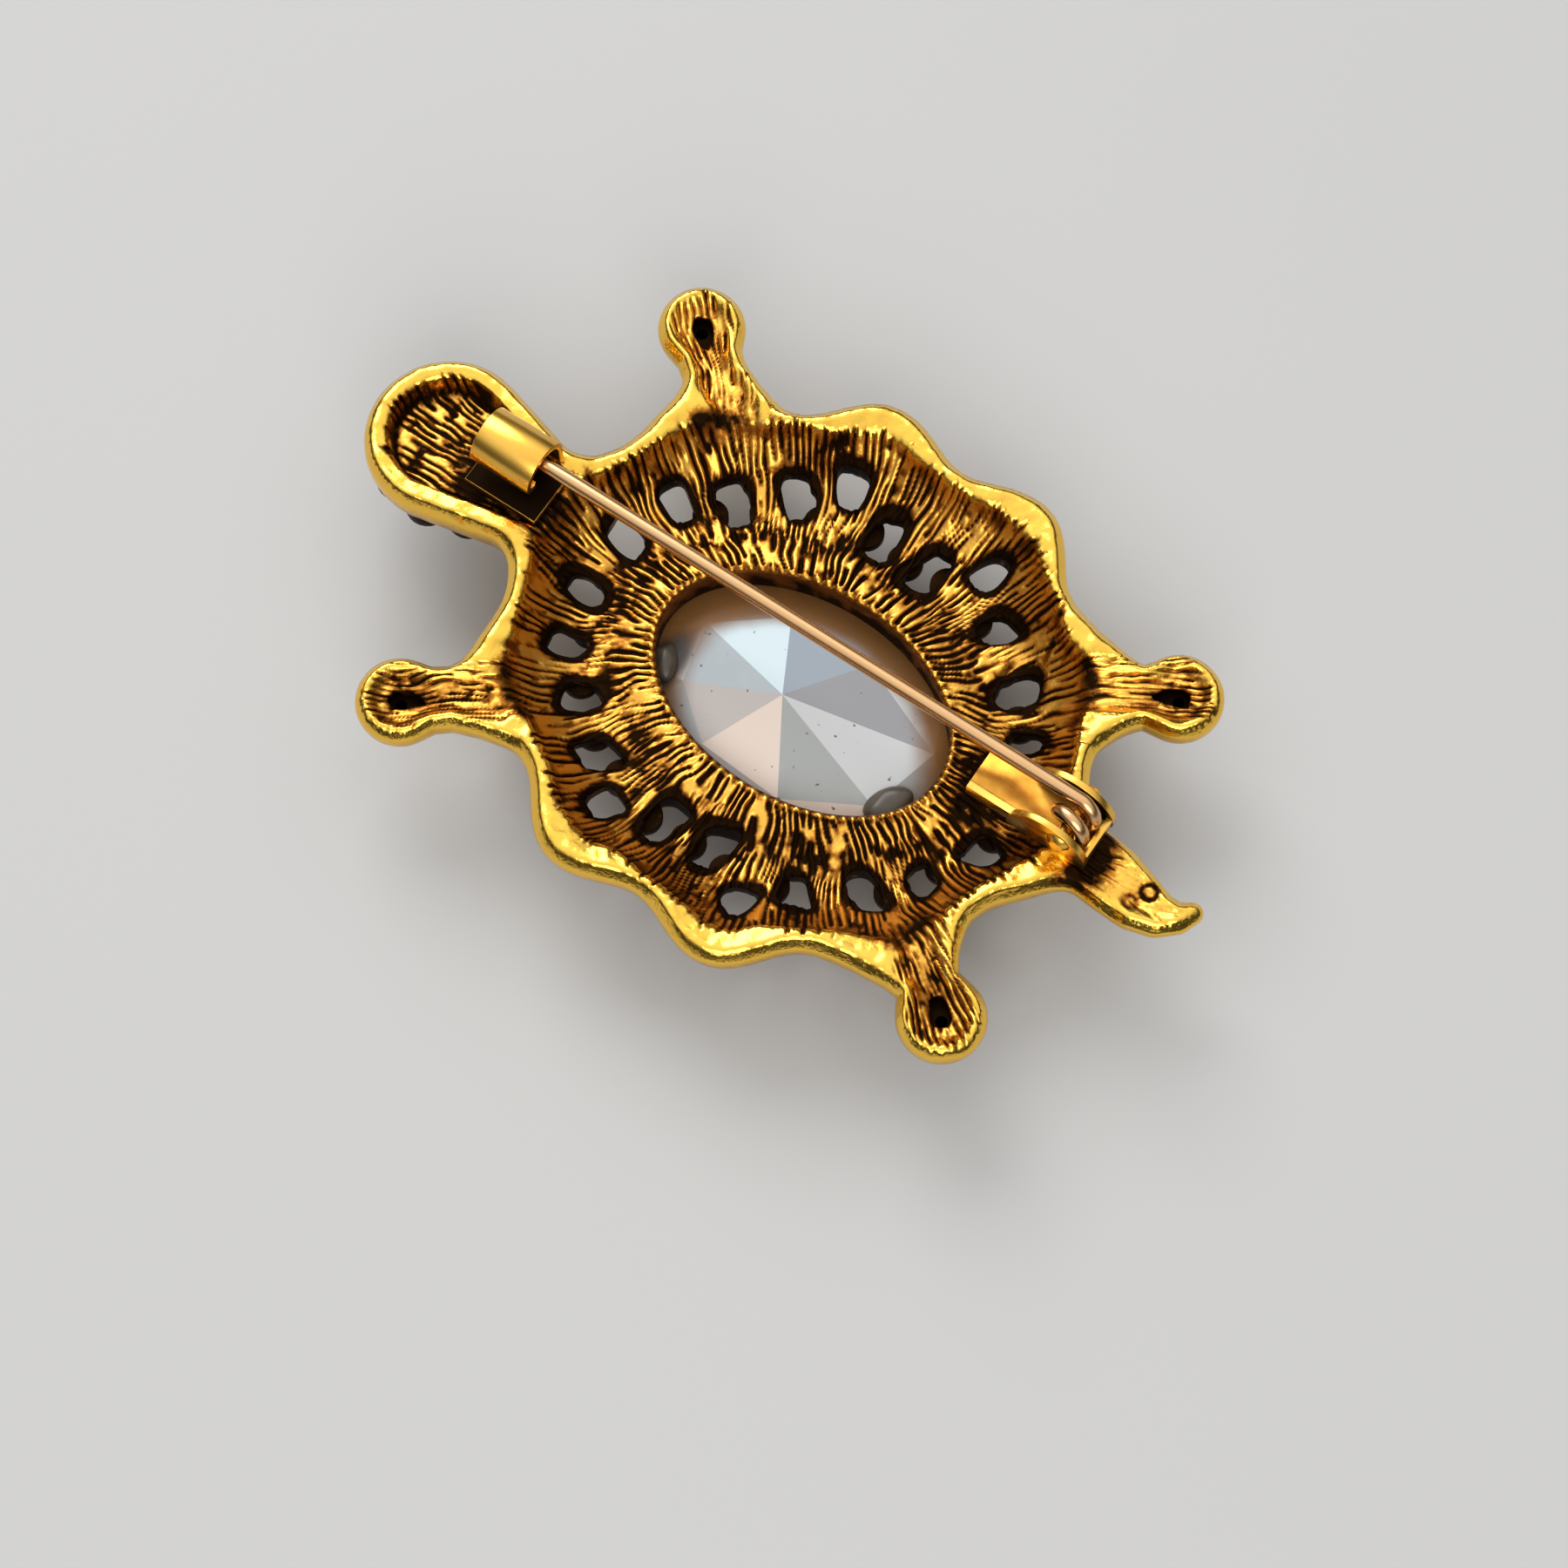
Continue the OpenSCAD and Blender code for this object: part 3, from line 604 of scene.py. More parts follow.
def plainBack(at):
    # the hollow shell with its rim band, and the floors and rims of the limbs
    c, b = casting, back
    lobe = 0.5 + 0.5 * np.cos(c["scallops"] * at.angle)
    rimWidth = mixed(c["rimNarrow"], c["rimWidth"], lobe)
    collar, v = collarRadius(at.angle), c["valleyShare"]
    at.out = np.clip((at.r - collar) / (at.edge - rimWidth - collar), 0, 1)
    near = c["valley"] + (c["collarTop"] - c["valley"]) * np.clip(1 - at.out / v, 0, 1) ** 2
    rise = c["rimTop"] - b["rimStep"] - c["valley"]
    shellFloor = near + rise * np.clip((at.out - v) / (1 - v), 0, 1) ** 2
    floor = mixed(shellFloor, limbAt(at, "top") - limbAt(at, "hollow"), at.beyond)
    top = mixed(c["rimTop"], limbAt(at, "top"), at.beyond)
    sway = b["rimSway"] * around(at.angle / wholeTurn, at.r, "sway")
    at.rim = mixed(rimWidth - b["rimBack"] + sway, limbAt(at, "rim") + b["limbSway"] * sway, at.beyond)
    at.slope = mixed(b["rimSlope"], limbAt(at, "rimSlope"), at.beyond)
    at.onRim = 1 - smoothStep(at.rim - b["rimLap"], at.rim + at.slope, at.field)
    (edgeRound, power), (fall, run, most) = b["rimRound"], b["rimFall"]
    crown = -edgeRound * (1 - np.clip(at.field / edgeRound, 0, 1)) ** power
    fall = mixed(fall, limbAt(at, "rimFall"), at.beyond)
    crown = crown - fall * np.clip((at.field - edgeRound) / run, 0, most)
    dents = b["dents"] * (clouded(at.x, at.y, "dents") - 0.5)
    dents = dents + b["smallDents"] * (clouded(at.x, at.y, "smallDents") - 0.5)
    return mixed(floor, top + crown + dents, at.onRim)


def collarRelief(at):
    # the beaded edge of the opening
    b = back
    long, wide = casting["opening"]
    middle, half, height = b["lip"]
    at.fromOpening = at.r - openingRadius(at.angle)
    at.lip = ridge(at.fromOpening - middle, half)
    at.ovalTurn = np.arctan2(at.y / wide, at.x / long)
    bead = at.ovalTurn / wholeTurn * b["beads"]
    sway = b["beadSway"] * softNoise(bead / 2, 0 * at.r, b["beadSeed"], b["beads"] // 2)
    at.beads = 0.5 + 0.5 * np.cos(wholeTurn * (bead + sway))
    beaded = 1 - b["beadRise"] + b["beadRise"] * at.beads
    drop, run = b["lipEdge"]
    return height * at.lip * beaded - drop * (1 - smoothStep(0.0, run, at.fromOpening))


def lineRelief(at):
    # engraved lines, more of them further out, and a flecked band outside the collar
    b = back
    share, run = b["lineLean"]
    lean = share * (1 - smoothStep(0.0, run, at.out))
    turn = (at.angle + lean * (at.ovalTurn - at.angle)) / wholeTurn
    inner, outer, limb = (engraved(turn, at.r, kind) for kind in ("inner", "outer", "limb"))
    ragged = b["outerRagged"] * around(turn, at.r, "ragged")
    groove = mixed(inner, outer, smoothStep(*b["outerLines"], at.out + ragged))
    at.groove = mixed(groove, limb, smoothStep(*b["limbLines"], at.beyond))
    ticks = b["ticks"] * around(turn, at.r, "ticks")
    fade, full = b["lineEnd"]
    at.inside = smoothStep(at.rim + fade, at.rim + full, at.field + ticks)
    at.inside = at.inside * smoothStep(*b["lineStart"], at.fromOpening)
    start, end, fade = b["leaf"]
    at.leaf = np.where(at.isTail, 1 - fade * smoothStep(start, end, at.r), 1.0)
    depth = b["lineDepth"] * mixed(1.0, limbAt(at, "lineDepth"), at.beyond) * at.leaf
    middle, half = b["fleckBand"]
    at.band = ridge(at.out - middle, half) * (1 - at.beyond) * at.inside
    at.flecks = around(turn, at.r, "flecks")
    return b["flecks"] * at.flecks * at.band - depth * at.groove * at.inside


def windowRound(at):
    height, reach = back["windowRound"]
    return height * (1 - np.clip(at.gap / reach, 0, 1)) ** 2


def smallRelief(at):
    # pits of the casting, rounded window edges, hollows at the feet and two rings on the tail
    b = back
    at.pits = smoothStep(*b["pitLevels"], clouded(at.x, at.y, "pits")) * at.inside
    inward, long, wide, depth = b["footHollow"]
    hollow = np.zeros_like(at.r)
    for fx, fy in casting["feet"]:
        way = footWay(fx, fy)
        along = (at.x - fx) * way[0] + (at.y - fy) * way[1] + inward
        across = -(at.x - fx) * way[1] + (at.y - fy) * way[0]
        hollow = np.maximum(hollow, np.exp(-(along / long) ** 2 - (across / wide) ** 2))
    at.hollow = hollow * (1 - at.onRim)
    ringWidth, ringDepth = b["ringLine"]
    at.rings = np.zeros_like(at.r)
    for x, y, radius, strength in b["tailRings"]:
        ring = strength * ridge(np.hypot(at.x - x, at.y - y) - radius, ringWidth)
        at.rings = np.maximum(at.rings, ring)
    return -b["pits"] * at.pits - windowRound(at) - depth * at.hollow - ringDepth * at.rings


def fittingGap(x, y):
    # how far a point lies outside the soldered feet of hinge and catch
    gaps = []
    for nodeName in ("hinge_base", "catch"):
        corners = np.array(nodes[nodeName].bound_box) / mm
        low, high = corners.min(0), corners.max(0)
        aside = np.maximum(np.maximum(low[0] - x, x - high[0]), 0)
        along = np.maximum(np.maximum(low[1] - y, y - high[1]), 0)
        gaps.append(np.hypot(aside, along))
    return np.minimum(*gaps)


# Patina of the back with painted shade in it (painted shadow below the legs' roots, round the windows and
# under hinge and catch): 1 is black, and more than 1 spreads the black
tarnishAndShade = {
    "lines": (1.7, 1.3, 0.35),  # at the collar, further out, and from which share of the way on
    "cove": (0.25, 0.22, 0.7),  # strength on the shell, half width, place on the rim's slope
    # reach of the painted shade round the windows
    "windowShadeReach": 0.36,
    # throatShadow is painted shadow on the shell's wall just inside the rim below each leg's root
    "throatShadow": (2.1, 0.8, 0.9),  # how far inside the edge at the legs, half width, strength
    "throatSides": (-0.6, 0.8),
    "throatNoise": (0.5, 0.7),  # least, range
    "tailRoot": (22.6, 1.3),  # distance from the middle, half width
    "tailRootNoise": (0.55, 1.1),
    "tailRootGrain": (0.6, 3.0, 73),  # scales along and across, seed
    # reach of the dark round the hinge's and catch's feet: solder, and painted shadow under these fittings
    "solderShadowReach": 2.1,
    "solderAndShadow": (0.6, 0.6),  # between the lines, and more in them
    "footHollow": (0.6, 0.7),
    "rings": 1.1,
    "pits": 0.6,
    "beads": 0.7,
    "opening": (0.6, 0.25),  # strength, reach
    "head": 0.08,
    "band": 0.28,
    "flecks": 0.9,
    "spread": (0.4, 0.45),  # strength, and the level that adds nothing
    "crumbs": (0.3, 0.5),
}


def backPatinaAndShade(at):
    t = tarnishAndShade
    strength, half, share = t["cove"]
    cove = ridge(at.field - at.rim - share * at.slope, half)
    cove = cove * mixed(strength, limbAt(at, "coveDark"), at.beyond) * at.leaf
    # painted shade round the windows, standing in for their walls in shade
    windowShade = 1 - smoothStep(0.0, t["windowShadeReach"], at.gap)
    # painted shadow below each leg's root: a dark band just inside the rim, where the shell's wall lies in
    # shade under the leg
    inward, half, strength = t["throatShadow"]
    throatShadow = strength * ridge(at.r - at.edge + inward, half) * smoothStep(*t["throatSides"], at.legs)
    least, more = t["throatNoise"]
    throatShadow = throatShadow * (least + more * clouded(at.x, at.y, "throatShadow"))
    away, half = t["tailRoot"]
    root = np.where(at.isTail, ridge(at.r - away, half), 0) * at.beyond
    (least, more), (along, across, seed) = t["tailRootNoise"], t["tailRootGrain"]
    root = root * (least + more * softNoise(at.x * along, at.y * across, seed))
    # dark round the feet of hinge and catch: solder, and painted shadow under the fittings
    between, inLines = t["solderAndShadow"]
    solderAndShadow = smoothStep(t["solderShadowReach"], 0.0, fittingGap(at.x, at.y)) * at.inside
    solderAndShadow = solderAndShadow * (between + inLines * at.groove)
    between, inLines = t["footHollow"]
    hollow = at.hollow * (between + inLines * at.groove)
    collarDark, shellDark, run = t["lines"]
    lineDark = mixed(collarDark, shellDark, smoothStep(0.0, run, at.out))
    lineDark = mixed(lineDark, limbAt(at, "lineDark"), at.beyond) * at.groove * at.inside * at.leaf
    dark = np.maximum.reduce([
        lineDark, cove, windowShade, throatShadow, root, solderAndShadow, hollow, t["rings"] * at.rings,
        t["pits"] * at.pits * at.leaf, t["beads"] * at.lip * (1 - at.beads)])
    more = t["head"] * np.where(at.isHead, at.beyond, 0) + at.band * (t["band"] - t["flecks"] * at.flecks)
    for name in ("spread", "crumbs"):
        strength, middle = t[name]
        more = more + strength * (clouded(at.x, at.y, name) - middle)
    dark = dark + more * at.inside * at.leaf
    strength, reach = t["opening"]
    return np.maximum(dark, strength * (1 - smoothStep(0.0, reach, at.fromOpening)))


def backSurface(x, y):
    # height, patina with painted shade, and polish; each step leaves on the plan what later ones need
    at = planAt(x, y)
    z = plainBack(at)
    for relief in (collarRelief, lineRelief, smallRelief):
        z = z + relief(at)
    return z, np.clip(backPatinaAndShade(at), 0, 1), np.clip(at.onRim + 0.5 * at.lip, 0, 1)


# The front: bezel round the stone, then a dome out to the edge
front = {
    "bezelWall": 0.9,
    "bezelTop": 1.8,
    "bezelRoll": 0.12,
    "domeStep": 0.7,
    "domePower": 0.7,
    "edgeRound": (0.9, 1.4),  # height, reach
    "lineDepth": 0.14,
    "lineDark": 0.9,
    "windowDark": (0.8, 0.5),  # strength, reach
    "bezelDark": (0.7, 1.1, 0.25),  # strength, distance from the stone, half width
    "bezelFoot": (-0.15, 0.2),  # the dome starts between these distances from the bezel's wall
    "lineEnd": (1.0, 1.6),
    "lineStart": (1.2, 1.8),
    "polish": (1.4, 0.6),
}


def frontSurface(x, y):
    # height, patina and polish
    f, at = front, planAt(x, y)
    wall, top = f["bezelWall"], f["bezelTop"]
    girdle = girdleRadius(at.angle)
    outside = at.r - girdle
    bezel = girdle + wall
    u = np.clip((at.r - bezel) / (at.edge - bezel), 0, 1)
    dome = mixed(top + f["domeStep"], casting["rimTop"] - casting["rimHeight"], u ** f["domePower"])
    roll = top + f["bezelRoll"] * np.cos(np.clip(outside / wall, 0, 1) * wholeTurn)
    foot, clear = f["bezelFoot"]
    shell = mixed(roll, dome, smoothStep(wall + foot, wall + clear, outside))
    z = mixed(shell, limbAt(at, "top") - limbAt(at, "height"), at.beyond)
    height, reach = f["edgeRound"]
    z = z + height * (1 - np.clip(at.field / reach, 0, 1)) ** 2 + windowRound(at)
    inside = smoothStep(*f["lineEnd"], at.field) * smoothStep(*f["lineStart"], outside)
    line = engraved(at.angle / wholeTurn, at.r, "front") * inside * (1 - at.beyond)
    z = z + f["lineDepth"] * line
    strength, reach = f["windowDark"]
    dark = np.maximum(f["lineDark"] * line, strength * (1 - smoothStep(0.0, reach, at.gap)))
    strength, away, half = f["bezelDark"]
    dark = np.maximum(dark, strength * ridge(outside - away, half))
    return z, np.clip(dark, 0, 1), smoothStep(*f["polish"], at.field)


def crossings(points, loop, batch=4000):
    # how often a line from each point towards +X meets the loop: an odd number is inside
    ax, ay = loop[:, 0], loop[:, 1]
    bx, by = np.roll(ax, -1), np.roll(ay, -1)
    rise = np.where(by == ay, 1e-12, by - ay)
    counts = np.zeros(len(points), int)
    for k in range(0, len(points), batch):
        px, py = points[k:k + batch, :1], points[k:k + batch, 1:]
        meets = (ay > py) != (by > py)
        at = ax + (py - ay) * (bx - ax) / rise
        counts[k:k + batch] = (meets & (at > px)).sum(1)
    return counts


def planMesh(loops, inner):
    # triangles over the plan, between the loops and the points inside them
    points = np.concatenate(loops + [inner])
    edges, start = [], 0
    for loop in loops:
        n = len(loop)
        edges += [(start + k, start + (k + 1) % n) for k in range(n)]
        start += n
    triangles, sources = delaunay_2d_cdt([Vector(p) for p in points], edges, [], 0, 1e-7)[2:4]
    first = [min(group) for group in sources]
    faces = np.array([[first[k] for k in triangle] for triangle in triangles])
    onLoops = (faces < start).all(1)
    middle = points[faces[onLoops]].mean(1)
    keep = ~onLoops
    keep[onLoops] = sum(crossings(middle, loop) for loop in loops) % 2 == 1
    faces = faces[keep]
    a, b, d = points[faces[:, 0]], points[faces[:, 1]], points[faces[:, 2]]
    area = (b - a)[:, 0] * (d - a)[:, 1] - (b - a)[:, 1] * (d - a)[:, 0]
    faces[area < 0] = faces[area < 0][:, ::-1]
    return points, faces


# How finely the casting is meshed: step between rings, and points on a ring by the
# collar, on the rest of the shell and over the limbs
fineness = {
    "back": (0.27, 800, 1240, 1800),
    "front": (0.5, 240, 360, 500),
    "shellRun": 11.0,  # roughly from the opening to the edge
    "collarShare": 0.42,  # share of that run that has the collar's count
    "limbRun": 17.0,  # past the edge
    "outline": 0.17,  # step along the outline
    "opening": 400,  # points round the opening
    "foot": 36,  # points round a foot's hole
    "windowOverlap": 0.4,  # a window's uneven loop lies up to this far inside the even one
    "backDepth": 0.1,  # points keep so far inside the outline, and so far from the loops
    "backRooms": (0.12, 0.1, 0.09),  # opening, windows, foot holes
    "frontDepth": 0.2,
    "frontRoom": 0.15,
}


def shellGrid(ringStep, innerCount, outerCount, limbCount):
    rows = []
    shareStep = ringStep / fineness["shellRun"]
    for t in np.arange(shareStep, 1.0, shareStep):
        count = innerCount if t < fineness["collarShare"] else outerCount
        angle = np.arange(count) * wholeTurn / count
        rows.append(polar(mixed(openingRadius(angle), edgeRadius(angle), t), angle))
    angle = np.arange(limbCount) * wholeTurn / limbCount
    for r in np.arange(0.0, fineness["limbRun"], ringStep):
        rows.append(polar(edgeRadius(angle) + r, angle))
    return np.concatenate(rows)


def clearPoints(points, depth, loopsRound):
    # leaves out points close to the outline, close to a loop or inside one
    x, y = points[:, 0], points[:, 1]
    points = points[(outlineField(x, y) > depth) & (windowDistance(x, y) > -fineness["windowOverlap"])]
    for loop, room in loopsRound:
        centre = loop.mean(0)
        reach = np.hypot(*(loop - centre).T).max() + room
        near = np.flatnonzero(np.hypot(*(points - centre).T) < reach)
        close = points[near]
        distance = np.hypot(close[:, None, 0] - loop[:, 0], close[:, None, 1] - loop[:, 1]).min(1)
        drop = (distance < room) | (crossings(close, loop) % 2 == 1)
        points = np.delete(points, near[drop], 0)
    return points


# Walls between back and front. Edge: share of the way down, darkness, polish; the edge walls get darker
# towards the bottom. Seat: share of the way out to the girdle, further room, height, darkness.
walls = {
    "edge": [(0.1, 0.02, 1), (0.24, 0.06, 1), (0.4, 0.12, 0.9), (0.58, 0.2, 0.7), (0.76, 0.28, 0.5),
             (0.9, 0.34, 0.4)],
    "seat": [(0, 0.03, 6.05, 0.45), (0, 0.02, 5.4, 0.55), (0, 0.02, 4.7, 0.7), (0, 0.02, 3.95, 0.9),
             (0.5, 0.04, 3.72, 0.9), (1, 0.04, 3.47, 0.9), (1, 0.04, 3.0, 0.5), (1, 0.04, 2.3, 0.3)],
    "seatPolish": 0.4,
    "window": (0.3, 0.7),  # shares of the way down
    "footHole": (0.8, 1.7, 0.72),  # reach outward, inward and to the sides
    "footRagged": (0.4, 1.7, 83),  # strength, scale, seed
    "footHeights": (8.2, 7.75, 7.7),  # in the hole, at its lower edge, and at the stone's seat
    "footRoom": 0.05,  # between the stone and its seat
}


def footLoops():
    # the ragged hole in each foot's back, and its stone's round seat
    turns = np.linspace(0, wholeTurn, fineness["foot"], endpoint=False)
    cos, sin = np.cos(turns), np.sin(turns)
    outward, inward, aside = walls["footHole"]
    strength, scale, seed = walls["footRagged"]
    radius = casting["footStone"] / 2 + walls["footRoom"]
    holes, seats = [], []
    for fx, fy in casting["feet"]:
        way = footWay(fx, fy)
        side = np.array([-way[1], way[0]])
        long = np.where(cos > 0, outward, inward) * cos
        wide = aside * sin * (1 + 0.15 * cos)
        ragged = 1 + strength * (softNoise(scale * cos + fx, scale * sin + fy, seed) - 0.5)
        hole = long[:, None] * way + wide[:, None] * side
        holes.append(np.array([fx, fy]) + ragged[:, None] * hole)
        seats.append(np.array([fx, fy]) + radius * (cos[:, None] * way + sin[:, None] * side))
    return holes, seats


def addWall(parts, start, rows, outer=False):
    # joins a loop of the back, through rows of (points, darkness, polish), to its loop of the
    # front: both plans start with their loops, in the same order
    count = len(rows[0][0])
    rings = [start + np.arange(count)]
    for row, dark, bright in rows:
        rings.append(sum(len(p) for p in parts.points) + np.arange(count))
        stainAndShade = clouded(row[:, 0], row[:, 1], "stainAndShade", row[:, 2])
        parts.points.append(row)
        parts.dark.append(np.clip(dark * (0.5 + stainAndShade), 0, 1))
        parts.bright.append(np.full(count, bright))
    rings.append(len(parts.points[0]) + start + np.arange(count))
    for top, low in zip(rings, rings[1:]):
        nextTop, nextLow = np.roll(top, -1), np.roll(low, -1)
        faces = np.concatenate([np.stack([top, low, nextLow], 1), np.stack([top, nextLow, nextTop], 1)])
        parts.faces.append(faces if outer else faces[:, ::-1])
    return start + count


def level(loop, z):
    return np.column_stack([loop, np.broadcast_to(z, len(loop))])


def buildCasting():
    c = casting
    outlineWalk = walkOutline(fineness["outline"])
    outline, outward = outlineWalk[:, :2], outlineWalk[:, 2:]
    print("outline of", len(outline), "points")
    angle = np.linspace(0, wholeTurn, fineness["opening"], endpoint=False)
    opening = polar(openingRadius(angle), angle)
    girdle = polar(girdleRadius(angle) + c["stoneRoom"], angle)
    windows = [windowLoop(place) for place in windowList]
    holes, seats = footLoops()

    # points of the two plans, clear of their loops
    openingRoom, windowRoom, holeRoom = fineness["backRooms"]
    rooms = [(opening, openingRoom)]
    rooms += [(loop, windowRoom) for loop in windows] + [(loop, holeRoom) for loop in holes]
    fine = clearPoints(shellGrid(*fineness["back"]), fineness["backDepth"], rooms)
    backPlan, backFaces = planMesh([outline, opening] + windows + holes, fine)
    coarse = shellGrid(*fineness["front"])
    clear = girdleRadius(np.arctan2(coarse[:, 1], coarse[:, 0])) + fineness["frontDepth"]
    coarse = coarse[np.hypot(*coarse.T) > clear]
    rooms = [(loop, fineness["frontRoom"]) for loop in [girdle] + windows + seats]
    coarse = clearPoints(coarse, fineness["frontDepth"], rooms)
    frontPlan, frontFaces = planMesh([outline, girdle] + windows + seats, coarse)

    backZ, backDark, backBright = backSurface(backPlan[:, 0], backPlan[:, 1])
    frontZ, frontDark, frontBright = frontSurface(frontPlan[:, 0], frontPlan[:, 1])
    parts = SimpleNamespace(
        points=[level(backPlan, backZ), level(frontPlan, frontZ)],
        faces=[backFaces, frontFaces[:, ::-1] + len(backPlan)],
        dark=[backDark, frontDark], bright=[backBright, frontBright])

    n = len(outline)
    reach = np.hypot(*outline.T) - edgeRadius(np.arctan2(outline[:, 1], outline[:, 0]))
    bulge = mixed(c["rimBulge"], c["limbInset"], smoothStep(-0.2, 1.0, reach))
    rows = []
    for t, dark, bright in walls["edge"]:
        swell = np.sin(math.pi * t ** 0.8) ** 0.7
        loop = outline + outward * (bulge * swell)[:, None]
        rows.append((level(loop, mixed(backZ[:n], frontZ[:n], t)), dark, bright))
    start = addWall(parts, 0, rows, outer=True)

    way = polar(1.0, angle)
    ledge = girdleRadius(angle) - openingRadius(angle)
    rows = []
    for share, room, z, dark in walls["seat"]:
        loop = opening + way * (share * ledge + room)[:, None]
        rows.append((level(loop, z), dark, walls["seatPolish"]))
    start = addWall(parts, start, rows)

    # the walls of the windows and of the feet's holes are painted dark: patina, and painted shade inside
    # the openings
    for loop in windows:
        top, low = backZ[start:start + len(loop)], frontZ[start:start + len(loop)]
        start = addWall(parts, start, [(level(loop, mixed(top, low, t)), 1, 0) for t in walls["window"]])
    for hole, seat in zip(holes, seats):
        loops = zip((hole, hole, seat), walls["footHeights"])
        start = addWall(parts, start, [(level(loop, z), 1, 0) for loop, z in loops])

    piece = meshPiece("castBody", np.concatenate(parts.points) * mm, np.concatenate(parts.faces).tolist())
    storeValues(piece, "patinaAndShade", np.concatenate(parts.dark))
    storeValues(piece, "polish", np.concatenate(parts.bright))
    pick(piece)
    bpy.ops.object.shade_smooth()
    print("casting has", len(piece.data.polygons), "triangles")
    return piece


castBody = buildCasting()
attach(castBody, "brooch")
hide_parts("cast_body")


antique = {
    "bright": (0.93, 0.56, 0.08, 1),
    "ridge": (0.88, 0.46, 0.07, 1),
    "shadow": (0.33, 0.115, 0.014, 1),
    "patinaAndShade": (0.014, 0.006, 0.002, 1),
    "bump": (0.3, 0.12 * mm),
}


def antiqueGold():
    material, shader = newMaterial("antiqueGold")
    place = objectPlace(material)
    # patinaAndShade holds patina and painted shade; both turn the gold brown and then black
    patinaAndShade, polish = place.attribute("patinaAndShade"), place.attribute("polish")
    cloud, grain = place.noise(900.0, 4.0, 0.6), place.noise(3800.0, 3.0, 0.6)
    stainAndShade = (patinaAndShade + (cloud - 0.5) * 0.5 + (grain - 0.5) * 0.3).span(0.38, 0.78)
    tone = (polish * 0.8 + (cloud - 0.5) * 0.9).span(0.1, 0.8)
    metal = tone.blend(antique["ridge"], antique["bright"])
    halfDark = (patinaAndShade + (grain - 0.5) * 0.5).span(0.06, 0.5)
    metal = halfDark.blend(metal, antique["shadow"])
    plug(stainAndShade.blend(metal, antique["patinaAndShade"]), shader, "Base Color")
    shader.inputs["Metallic"].default_value = 1.0
    plug(0.33 - polish * 0.18 + (cloud - 0.5) * 0.14 + stainAndShade * 0.3, shader, "Roughness")
    plug((grain * 0.6 + cloud).bump(*antique["bump"]), shader, "Normal")
    return material


castGold = antiqueGold()
dress(castBody, castGold)
print("casting dressed")


# The large stone: eight main facets round a point that lies off the middle, a ring of
# smaller facets out to the girdle, and the cut crown with its table on the front.
largeStone = {
    "point": (-1.1, -0.7, 5.7),
    "corners": [
        (-8.6, 0.9), (-4.2, 4.6), (2.1, 4.9), (9.3, 2.2),
        (8.1, -3.2), (2.7, -6.5), (-3.7, -6.3), (-7.4, -3.4)],
    "cornerHeight": 4.4,
    "girdleTop": 3.4,
    "girdleLow": 2.8,
    "girdlePoints": 32,
    "crownPoints": 16,
    "crownRing": (0.84, 0.82, 1.35),  # shares of the girdle, height
    "table": (15.0, 9.6),
    # facetShades: each main facet's painted reflection and shade, the one foil lighter or darker by how
    # light falls on it; the girdle, crown, kite and table shades below are painted the same way
    "facetShades": [
        (0.50, 0.60, 0.64), (0.26, 0.30, 0.34), (0.25, 0.25, 0.26), (0.45, 0.46, 0.46),
        (0.29, 0.30, 0.29), (0.59, 0.49, 0.42), (0.38, 0.35, 0.33), (0.32, 0.36, 0.38)],
    "girdleShade": (0.5, 0.48, 0.5),
    "crownShade": (1.0, 0.97, 1.04),
    "kiteShade": (1.2, 1.15, 1.25),
    "tableShade": (0.6, 0.58, 0.63),
    "haze": (0.82, 0.82, 0.86, 1),
    "brownAndShadow": (0.16, 0.07, 0.018, 1),
    "glueStainAndShadowColour": (0.045, 0.038, 0.034, 1),
    "speck": (0.1, 0.09, 0.09, 1),
    "edgeScale": (90.0, 128.0),  # one over the opening's reach along and across, in metres
    # a dark patch by the cement drop at -X: glue stain and painted shadow
    "glueStainAndShadow": (-9.1, -2.8, 1.5, 2.8),  # place, half length and half width
}


def shaded(facetShade, shade):
    return tuple(shade * v for v in facetShade)


